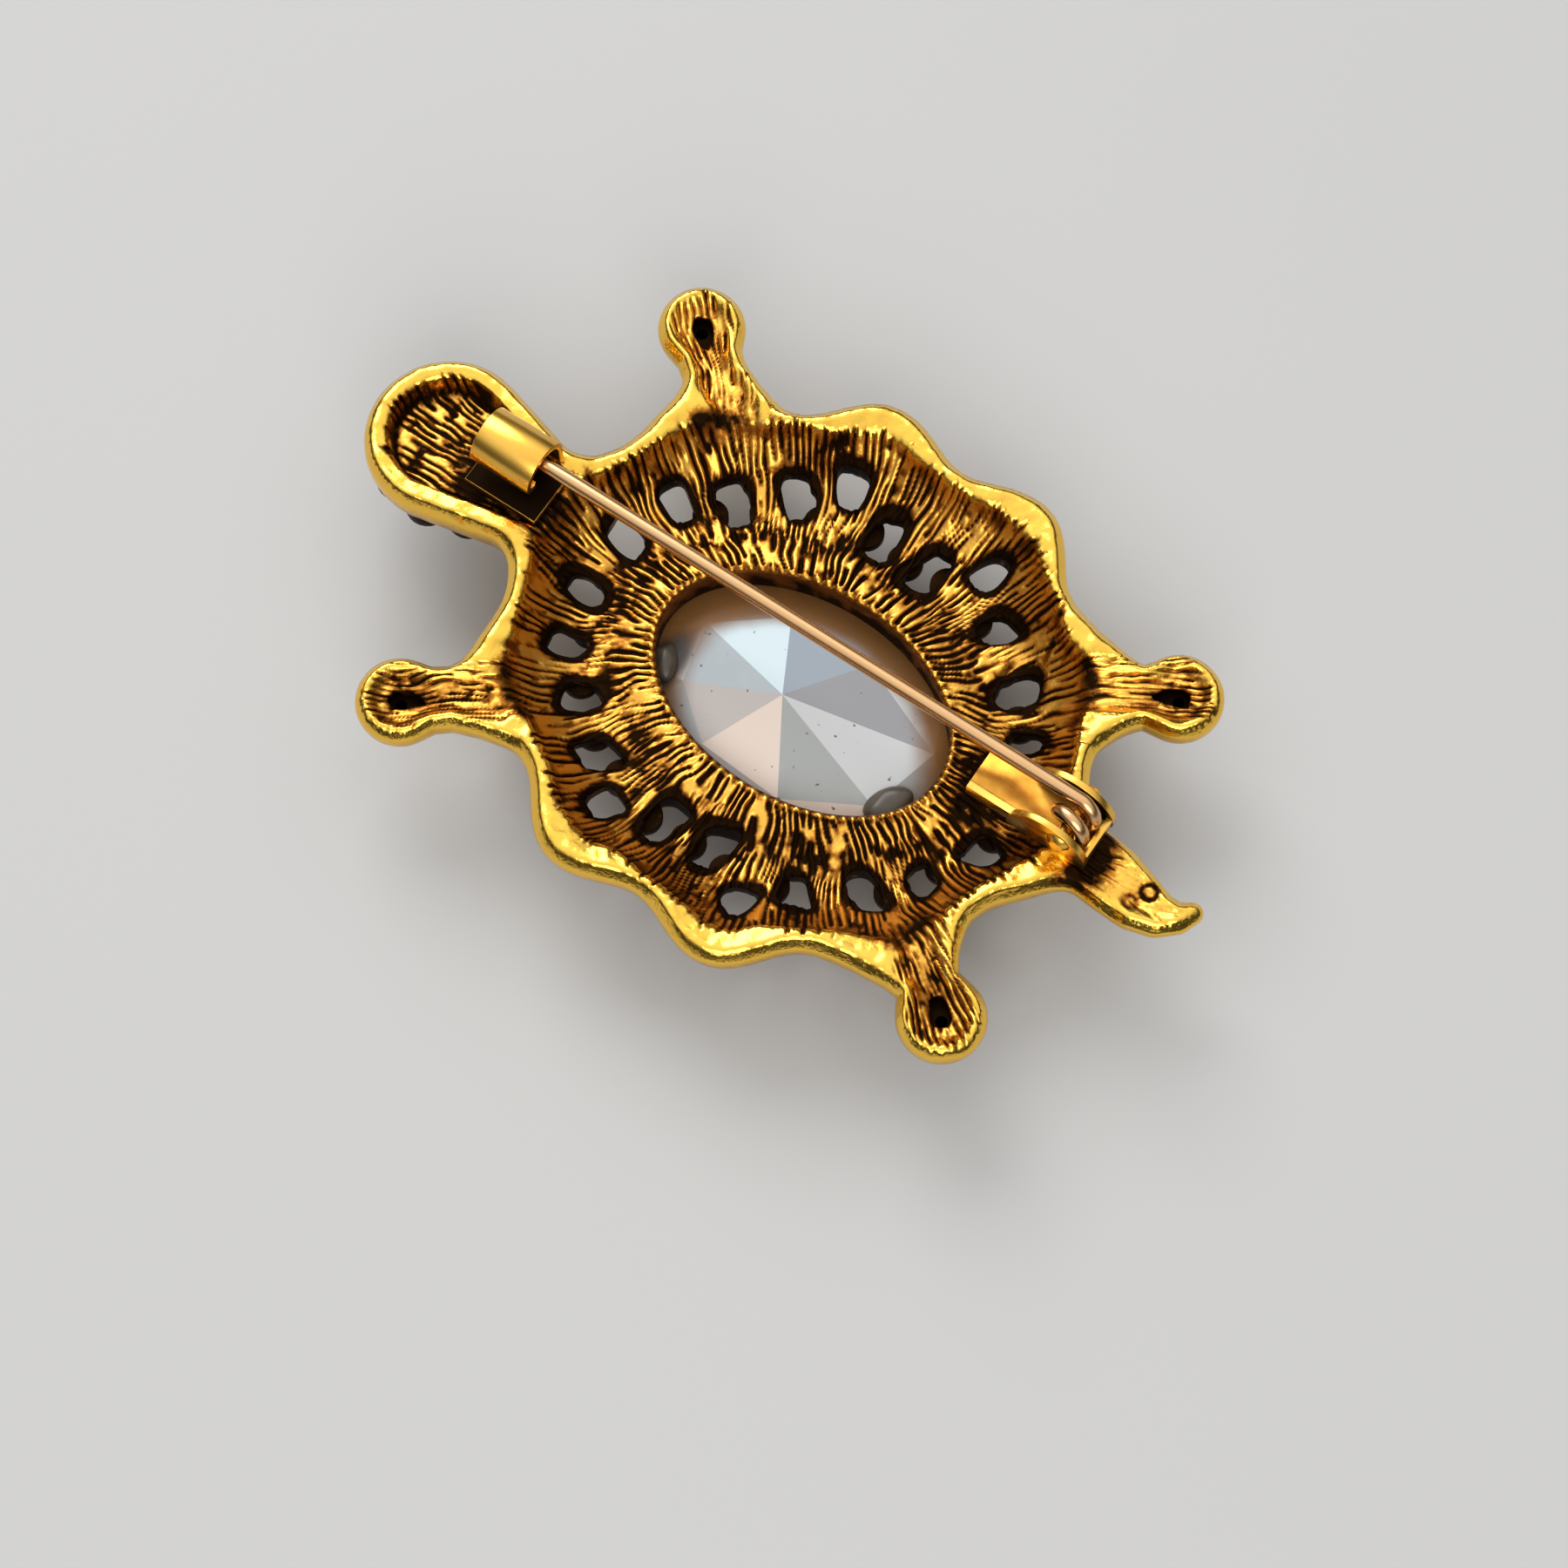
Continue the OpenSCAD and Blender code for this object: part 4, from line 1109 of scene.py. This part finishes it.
def buildLargeStone():
    g = largeStone
    rx, ry = casting["stone"][0] / 2, casting["stone"][1] / 2
    mains, sides, crown = len(g["corners"]), g["girdlePoints"], g["crownPoints"]
    points, faces, facetShades = [g["point"]], [], []
    points += [(x, y, g["cornerHeight"]) for x, y in g["corners"]]
    turns = [wholeTurn * k / sides for k in range(sides)]
    girdleTop, girdleLow = len(points), len(points) + sides
    for z in (g["girdleTop"], g["girdleLow"]):
        points += [(rx * math.cos(t), ry * math.sin(t), z) for t in turns]
    for k in range(mains):
        faces.append((0, 1 + (k + 1) % mains, 1 + k))
        facetShades.append(g["facetShades"][k])

    def nearest(k):
        t = math.atan2(ry * math.sin(turns[k % sides]), rx * math.cos(turns[k % sides]))
        away = [abs((math.atan2(y, x) - t + math.pi) % wholeTurn - math.pi) for x, y in g["corners"]]
        return away.index(min(away))

    for k in range(sides):
        j, a, b = (k + 1) % sides, nearest(k), nearest(k + 1)
        faces.append((1 + a, girdleTop + k, girdleTop + j))
        facetShades.append(shaded(g["facetShades"][a], 0.7 + 0.3 * chance(k, 3, 5)))
        if a != b:
            faces.append((1 + a, girdleTop + j, 1 + b))
            facetShades.append(shaded(g["facetShades"][a], 0.9))
        faces.append((girdleTop + j, girdleTop + k, girdleLow + k, girdleLow + j))
        facetShades.append(g["girdleShade"])
    # crown: kites from the girdle to a ring of sixteen, then the table
    ring, table = len(points), len(points) + crown
    mids = [wholeTurn * (k + 0.5) / crown for k in range(crown)]
    longShare, wideShare, height = g["crownRing"]
    points += [(longShare * rx * math.cos(t), wideShare * ry * math.sin(t), height) for t in mids]
    points += [(g["table"][0] / 2 * math.cos(t), g["table"][1] / 2 * math.sin(t), 0.0) for t in mids]
    for k in range(crown):
        j = (k + 1) % crown
        left, mid, right = (girdleLow + (2 * k + step) % sides for step in range(3))
        shade = 0.4 + 0.35 * chance(k, 9, 2)
        for face in ((left, mid, ring + k), (mid, right, ring + k), (right, ring + j, ring + k)):
            faces.append(face[::-1])
            facetShades.append(shaded(g["crownShade"], shade))
        faces.append((table + k, table + j, ring + j, ring + k))
        facetShades.append(shaded(g["kiteShade"], shade))
    faces.append(tuple(table + k for k in reversed(range(crown))))
    facetShades.append(g["tableShade"])
    piece = meshPiece("centreStone", np.array(points) * mm, faces)
    pick(piece)
    bpy.ops.object.mode_set(mode="EDIT")
    bpy.ops.mesh.select_all(action="SELECT")
    bpy.ops.mesh.normals_make_consistent(inside=False)
    bpy.ops.object.mode_set(mode="OBJECT")
    layer = piece.data.attributes.new("facetShade", "FLOAT_COLOR", "CORNER")
    for polygon, colour in zip(piece.data.polygons, facetShades):
        for loop in polygon.loop_indices:
            layer.data[loop].color = (*colour, 1)
    return piece


def foiledGlass():
    g = largeStone
    material, shader = newMaterial("foiledGlass")
    place = objectPlace(material)
    # facetShade is each facet's painted reflection and shade
    facetShade = place.attribute("facetShade", out="Color")
    along, across = place.part("X"), place.part("Y")
    onBack = place.part("Z").span(2.6 * mm, 3.2 * mm)
    haze, specks = place.noise(260.0, 3.0), place.noise(1500.0, 2.0)
    # the foil is brown towards the edge of the opening, where the reach is about 1, and painted shadow of
    # the collar darkens it more towards +Y and towards -X
    reach = ((along * g["edgeScale"][0]) ** 2.0 + (across * g["edgeScale"][1]) ** 2.0) ** 0.5
    edge = reach + (haze - 0.5) * 0.16 + across * 28.0 - along.least(0.0) * 20.0
    edge = edge.span(0.74, 0.98).most(reach.span(0.92, 1.03) * 0.7)
    colour = ((haze - 0.5) * 1.6).span(0.0, 1.0, 0.0, 0.25).blend(facetShade, g["haze"])
    colour = (edge * onBack).blend(colour, g["brownAndShadow"])
    # glue stain and painted shadow by the cement drop at -X
    x, y, long, wide = (v * mm for v in g["glueStainAndShadow"])
    away = (((along - x) * (1 / long)) ** 2.0 + ((across - y) * (1 / wide)) ** 2.0) ** 0.5
    glueStainAndShadow = (away + (haze - 0.5) * 0.8).span(1.15, 0.55)
    colour = (glueStainAndShadow * onBack).blend(colour, g["glueStainAndShadowColour"])
    colour = (specks.span(0.7, 0.73) * onBack).blend(colour, g["speck"])
    plug(colour, shader, "Base Color")
    plug(0.34 + haze * 0.25, shader, "Roughness")
    shader.inputs["Specular IOR Level"].default_value = 0.35
    return material


centreStone = buildLargeStone()
dress(centreStone, foiledGlass())
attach(centreStone, "brooch")
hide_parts("centre_stone")
print("large stone cut")


# Drops of cement between the stone and its collar
cementDrops = {
    "drops": [(-9.2, -3.0, 4.25, 1.25, 0.8), (8.9, -2.5, 4.3, 1.6, 0.9)],  # place, reach, height
    "shape": (0.75, 1.15),  # shares of the reach across the collar and along it
    "ovalTurn": 1.9,
    "wobble": (0.3, 1.4, 3),  # strength, scale, seed
    "colour": (0.028, 0.02, 0.013, 1),
    "pale": (0.10, 0.08, 0.055, 1),
}


def buildCement():
    made = []
    strength, scale, seed = cementDrops["wobble"]
    acrossShare, alongShare = cementDrops["shape"]
    for x, y, z, reach, tall in cementDrops["drops"]:
        deselect()
        bpy.ops.mesh.primitive_ico_sphere_add(subdivisions=4, radius=1, location=(0, 0, 0))
        drop = bpy.context.object
        way = math.atan2(y * cementDrops["ovalTurn"], x)
        for v in drop.data.vertices:
            p = np.array(v.co)
            wobble = 1 + strength * (float(softNoise(p[0] * scale + x, p[1] * scale + p[2], seed)) - 0.5)
            across, along = p[0] * reach * acrossShare * wobble, p[1] * reach * alongShare * wobble
            v.co = (
                mm * (x + across * math.cos(way) - along * math.sin(way)),
                mm * (y + across * math.sin(way) + along * math.cos(way)),
                mm * (z + p[2] * tall * wobble))
        made.append(drop)
    piece = joined(made, "stoneCement")
    bpy.ops.object.shade_smooth()
    return piece


def brownCement():
    material, shader = newMaterial("brownCement")
    cloud = objectPlace(material).noise(700.0, 3.0)
    plug(cloud.blend(cementDrops["colour"], cementDrops["pale"]), shader, "Base Color")
    plug(0.25 + cloud * 0.2, shader, "Roughness")
    return material


stoneCement = buildCement()
dress(stoneCement, brownCement())
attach(stoneCement, "brooch")
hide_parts("stone_adhesive")
print("cement set")


# The pin: one round wire, ground to a point and wound round its rivet
pin = {
    "rivet": (20.5, 1.7, 11.39),
    "skew": 2.0,
    "length": 46.35,
    "pointLength": 7.0,
    "pointTip": 0.14,
    "wire": 1.06,
    "coilWire": 1.0,
    "shank": 5.0,
    "coilRadius": 1.12,
    "pitch": 1.45,
    "turns": 1.25,
    "steps": (28, 40, 60),  # along the point, along the stem, in one turn of the coil
    "colour": (0.60, 0.33, 0.14, 1),
    "pale": (0.78, 0.49, 0.25, 1),
    "streaks": (60.0, 2600.0, 2600.0),
    "bump": (0.12, 0.05 * mm),
}
skew = math.radians(pin["skew"])
sideways = Vector((-math.sin(skew), math.cos(skew), 0.0))  # along the rivet


def inPinFrame(x, y, z):
    rx, ry, rz = pin["rivet"]
    cos, sin = math.cos(skew), math.sin(skew)
    return Vector((rx + x * cos - y * sin, ry + x * sin + y * cos, rz + z)) * mm


def pinRoute():
    # place in the pin's own frame, and share of the wire's thickness
    side, radius = pin["pitch"] * pin["turns"] / 2, pin["coilRadius"]
    thin, tip = pin["coilWire"] / pin["wire"], pin["pointTip"]
    pointSteps, stemSteps, turnSteps = pin["steps"]
    route = []
    for k in range(pointSteps + 1):
        x = -pin["length"] + pin["pointLength"] * k / pointSteps
        share = tip + (1 - tip) * math.sin(math.pi / 2 * k / pointSteps) ** 0.8
        route.append((x, side, radius, share))
    for k in range(1, stemSteps + 1):
        x = mixed(-pin["length"] + pin["pointLength"], 0.0, k / stemSteps)
        route.append((x, side, radius, mixed(thin, 1.0, min(1.0, -x / pin["shank"]))))
    count = int(turnSteps * pin["turns"])
    for k in range(1, count + 1):
        t = pin["turns"] * k / count
        turn = wholeTurn * t
        route.append((radius * math.sin(turn), side - pin["pitch"] * t, radius * math.cos(turn), thin))
    return route


def buildPin():
    line = bpy.data.curves.new("pinWire", "CURVE")
    line.dimensions = "3D"
    line.bevel_depth = pin["wire"] / 2 * mm
    line.bevel_resolution = 7
    line.use_fill_caps = True
    route = pinRoute()
    spline = line.splines.new("POLY")
    spline.points.add(len(route) - 1)
    for point, (x, y, z, share) in zip(spline.points, route):
        point.co = (*inPinFrame(x, y, z), 1)
        point.radius = share
    pick(newPiece("pinWire", line))
    bpy.ops.object.convert(target="MESH")
    bpy.ops.object.shade_smooth_by_angle(angle=math.radians(50))
    return bpy.context.object


def roseWire():
    material, shader = newMaterial("roseWire")
    place = objectPlace(material)
    streak, cloud = place.streaks(pin["streaks"]), place.noise(260.0, 3.0)
    plug((streak * 0.6 + cloud * 0.6 - 0.1).blend(pin["colour"], pin["pale"]), shader, "Base Color")
    plug(0.18 + streak * 0.16, shader, "Roughness")
    shader.inputs["Metallic"].default_value = 1.0
    plug(streak.bump(*pin["bump"]), shader, "Normal")
    return material


pinWire = buildPin()
dress(pinWire, roseWire())
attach(pinWire, "pin")
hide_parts("pin_stem")
print("pin wound")


# Hinge, rivet and catch: the sheet pieces with softened edges
sheetMetal = {
    "pieces": [  # node, piece, bevel
        ("hinge_base", "hingeBase", 0.07), ("hinge_rivet", "hingeRivet", 0.04),
        ("catch", "rolledCatch", 0.06)],
    "colour": (0.78, 0.41, 0.055, 1),
    "pale": (0.93, 0.57, 0.11, 1),
    "tan": (0.42, 0.17, 0.02, 1),
    "grimeAndShade": (0.009, 0.0045, 0.002, 1),
    # where the painted highlight strip of the hinge's foot starts, along the rivet
    "seam": -1.0,  # where the pale strip of the hinge's foot starts, along the rivet
    "plate": 9.2,  # height of the underside of the hinge's foot
    "footTan": 0.9,
    # upward faces of the catch below this height are painted dark, grime and painted shade under the roll
    "catchFoot": (9.9, 1.1),  # faces below this height are dark, by so much
    # how dark the painted shade on the insides of the ears is
    "earDark": 0.85,
    "streaks": (140.0, 1700.0, 1700.0),
    "bump": (0.12, 0.06 * mm),
}


def softened(nodeName, name, bevel):
    piece = newPiece(name, nodes[nodeName].data.copy())
    pick(piece)
    bpy.ops.object.mode_set(mode="EDIT")
    bpy.ops.mesh.select_all(action="SELECT")
    bpy.ops.mesh.remove_doubles(threshold=1e-6)
    bpy.ops.mesh.dissolve_limited(angle_limit=math.radians(0.5))
    bpy.ops.object.mode_set(mode="OBJECT")
    edge = piece.modifiers.new("softEdge", "BEVEL")
    edge.width = bevel * mm
    edge.segments = 2
    edge.limit_method = "ANGLE"
    edge.angle_limit = math.radians(40)
    bpy.ops.object.modifier_apply(modifier="softEdge")
    bpy.ops.object.shade_smooth_by_angle(angle=math.radians(35))
    return piece


def giltSheet():
    s = sheetMetal
    material, shader = newMaterial("giltSheet")
    place = objectPlace(material)
    grimeAndShade, flat = place.attribute("grimeAndShade"), place.attribute("flat")
    streak, cloud = place.streaks(s["streaks"]), place.noise(1100.0, 4.0)
    metal = (streak * 0.9 + cloud * 0.5 - 0.2).blend(s["colour"], s["pale"])
    metal = (flat + (cloud - 0.5) * 0.6).span(0.1, 0.9).blend(metal, s["tan"])
    # a painted highlight strip along one side of the hinge's foot, standing in for a lit fold, with a dark
    # seam
    seamPlace = (sideways.dot(Vector(pin["rivet"])) + s["seam"]) * mm
    fromSeam = place.dot(tuple(sideways)) - seamPlace
    onFoot = flat.span(0.2, 0.5)
    paintedHighlightStrip = fromSeam.span(0.0, -0.06 * mm) * onFoot
    seam = abs(fromSeam).span(0.1 * mm, 0.04 * mm) * onFoot
    metal = (paintedHighlightStrip * 0.85).blend(metal, s["pale"])
    # grimeAndShade: grime and painted shade on the catch's foot, and painted shade on the insides of the
    # ears
    stainAndShade = (grimeAndShade + seam * 0.5 + (cloud - 0.5) * 0.5).span(0.32, 0.7)
    plug(stainAndShade.blend(metal, s["grimeAndShade"]), shader, "Base Color")
    shader.inputs["Metallic"].default_value = 1.0
    plug(0.2 + streak * 0.16 + stainAndShade * 0.2, shader, "Roughness")
    plug((streak + cloud * 0.4).bump(*s["bump"]), shader, "Normal")
    return material


def catchGrimeAndShade(normal, middle):
    # the catch's foot is painted dark under the roll: grime, and painted shade under the roll
    height, dark = sheetMetal["catchFoot"]
    return dark if normal.z > 0.95 and middle.z < height else 0.0


def hingeEarShade(normal, middle):
    # the insides of the ears are painted dark: painted shade between the ears
    side = sideways.dot(middle - Vector(pin["rivet"]))
    facing = sideways.dot(normal)
    return sheetMetal["earDark"] if facing * side < 0 and abs(facing) > 0.8 else 0.0


gilt = giltSheet()
for nodeName, pieceName, bevel in sheetMetal["pieces"]:
    sheet = softened(nodeName, pieceName, bevel)
    heights = np.array([v.co.z for v in sheet.data.vertices]) / mm - sheetMetal["plate"]
    tan = sheetMetal["footTan"] if nodeName == "hinge_base" else 0.0
    storeFaces(sheet, "grimeAndShade", catchGrimeAndShade if nodeName == "catch" else hingeEarShade)
    storeValues(sheet, "flat", tan * smoothStep(0.8, 0.3, heights))
    dress(sheet, gilt)
    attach(sheet, "brooch")
    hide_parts(nodeName)
print("hinge and catch softened")


# Cups round the small stones on the front, one shape for each size
cups = {
    # what the stones' nodes are called, and their size
    "kinds": {"shell_stone": 1.6, "head_stone": 2.2, "foot_stone": casting["footStone"], "tail_stone": 2.0},
    "wall": 0.45,
    "lip": 0.05,
    "rimRound": 0.06,
    "heightShare": 0.5,
    "hollowShare": 0.6,
    "sides": 24,
    "claws": 4,
    "clawRadius": 0.22,
    "clawOut": 0.08,
    "patinaAndShade": (0.2, 0.85),
    "patinaHeights": (2.6, 4.4),
    "polish": 0.3,
}


def cupShape(size):
    deselect()
    outer, tall = (size / 2 + cups["wall"]) * mm, cups["heightShare"] * size * mm
    bpy.ops.mesh.primitive_cylinder_add(
        vertices=cups["sides"], radius=outer, depth=tall, location=(0, 0, -tall / 2))
    cup = bpy.context.object
    bpy.ops.object.transform_apply(location=True)
    bpy.ops.object.mode_set(mode="EDIT")
    bpy.ops.mesh.select_all(action="DESELECT")
    bpy.ops.object.mode_set(mode="OBJECT")
    for polygon in cup.data.polygons:
        polygon.select = polygon.normal.z < -0.9
    bpy.ops.object.mode_set(mode="EDIT")
    bpy.ops.mesh.inset(thickness=(cups["wall"] - cups["lip"]) * mm, depth=0)
    bpy.ops.mesh.extrude_region_move(TRANSFORM_OT_translate={"value": (0, 0, cups["hollowShare"] * tall)})
    bpy.ops.object.mode_set(mode="OBJECT")
    rim = cup.modifiers.new("rim", "BEVEL")
    rim.width = cups["rimRound"] * mm
    rim.segments = 2
    bpy.ops.object.modifier_apply(modifier="rim")
    parts = [cup]
    reach = (size / 2 + cups["clawOut"]) * mm
    for k in range(cups["claws"]):
        turn = wholeTurn * (k + 0.5) / cups["claws"]
        tip = (reach * math.cos(turn), reach * math.sin(turn), -tall)
        deselect()
        bpy.ops.mesh.primitive_uv_sphere_add(
            segments=10, ring_count=6, radius=cups["clawRadius"] * mm, location=tip)
        bpy.ops.object.transform_apply(location=True)
        parts.append(bpy.context.object)
    pattern = joined(parts, "cupPattern")
    bpy.ops.object.shade_smooth_by_angle(angle=math.radians(40))
    return pattern


def buildCups():
    made = []
    for kind, size in cups["kinds"].items():
        pattern = cupShape(size)
        for nodeName in sorted(n for n in nodes if n.startswith(kind)):
            low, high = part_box(nodeName)
            copy = newPiece("cup", pattern.data.copy())
            shift = Vector(((low.x + high.x) / 2, (low.y + high.y) / 2, high.z))
            for v in copy.data.vertices:
                v.co = v.co + shift
            made.append(copy)
        bpy.data.objects.remove(pattern)
    print("cups for", len(made), "small stones")
    return joined(made, "stoneCups")


stoneCups = buildCups()
heights = np.array([v.co.z for v in stoneCups.data.vertices]) / mm
storeValues(stoneCups, "patinaAndShade", mixed(*cups["patinaAndShade"], smoothStep(*cups["patinaHeights"], heights)))
storeValues(stoneCups, "polish", np.full(len(heights), cups["polish"]))
dress(stoneCups, castGold)
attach(stoneCups, "brooch")


smallStones = {
    "colour": (0.012, 0.010, 0.010, 1),
    "pale": (0.05, 0.042, 0.036, 1),
}


def darkGlass():
    material, shader = newMaterial("darkGlass")
    cloud = objectPlace(material).noise(500.0, 2.0)
    plug(cloud.blend(smallStones["colour"], smallStones["pale"]), shader, "Base Color")
    plug(0.16 + cloud * 0.16, shader, "Roughness")
    return material


smallGlass = darkGlass()
for nodeName, node in nodes.items():
    if nodeName.startswith(tuple(cups["kinds"])):
        dress(node, smallGlass)
print("small stones dressed")


# Floor, light and camera
studio = {
    "floorSize": 1.6,
    "floor": (0.44, 0.437, 0.43, 1),
    "floorRoughness": 0.8,
    "skyWay": (-0.719, 0.484, 0.5),  # where the sky is brightest
    "skyBright": 1.4,
    "skyDim": 0.85,
    "skyLow": 0.06,
    "skyHeights": (0.25, 0.85),
    "cameraPlace": (60.7, -85.6, 276.8),
    "cameraWay": (0.2010, -0.2767, 0.9397),  # from the brooch, 36 degrees round and 70 up
    "lens": 100.0,
    "sensor": 36.0,
    "lamps": [  # name, place and size in metres, watts
        ("keyLamp", (-0.335, 0.225, 0.36), 0.36, 1.7),
        ("fillLamp", (0.24, -0.33, 0.36), 0.45, 1.6),
    ],
}


def setFloor():
    deselect()
    bpy.ops.mesh.primitive_plane_add(size=studio["floorSize"], location=(0, 0, 0))
    floor = bpy.context.object
    floor.name = "floor"
    material, shader = newMaterial("paleFloor")
    shader.inputs["Base Color"].default_value = studio["floor"]
    shader.inputs["Roughness"].default_value = studio["floorRoughness"]
    dress(floor, material)


def setSky():
    world = bpy.data.worlds.new("softSky")
    world.use_nodes = True
    way = Wire(world.node_tree).add("ShaderNodeTexCoord", out="Generated")
    strength = way.dot(studio["skyWay"]).span(-0.1, 1.0, studio["skyDim"], studio["skyBright"])
    strength = strength * way.part("Z").span(*studio["skyHeights"], studio["skyLow"], 1.0)
    backdrop = world.node_tree.nodes["Background"]
    backdrop.inputs["Color"].default_value = (1, 1, 1, 1)
    plug(strength, backdrop, "Strength")
    bpy.context.scene.world = world


def aimed(way):
    return (-Vector(way)).to_track_quat("-Z", "Y").to_euler()


def setLamps():
    for name, place, size, power in studio["lamps"]:
        lamp = bpy.data.lights.new(name, "AREA")
        lamp.shape = "DISK"
        lamp.size = size
        lamp.energy = power
        holder = newPiece(name, lamp)
        holder.location = place
        holder.rotation_euler = aimed(place)


def setCamera():
    camera = newPiece("camera", bpy.data.cameras.new("camera"))
    camera.data.lens = studio["lens"]
    camera.data.sensor_width = studio["sensor"]
    camera.data.clip_start = 0.01
    camera.location = Vector(studio["cameraPlace"]) * mm
    camera.rotation_euler = aimed(studio["cameraWay"])
    bpy.context.scene.camera = camera


setFloor()
setSky()
setLamps()
setCamera()
bpy.context.scene.view_settings.view_transform = "Standard"
print("studio set")
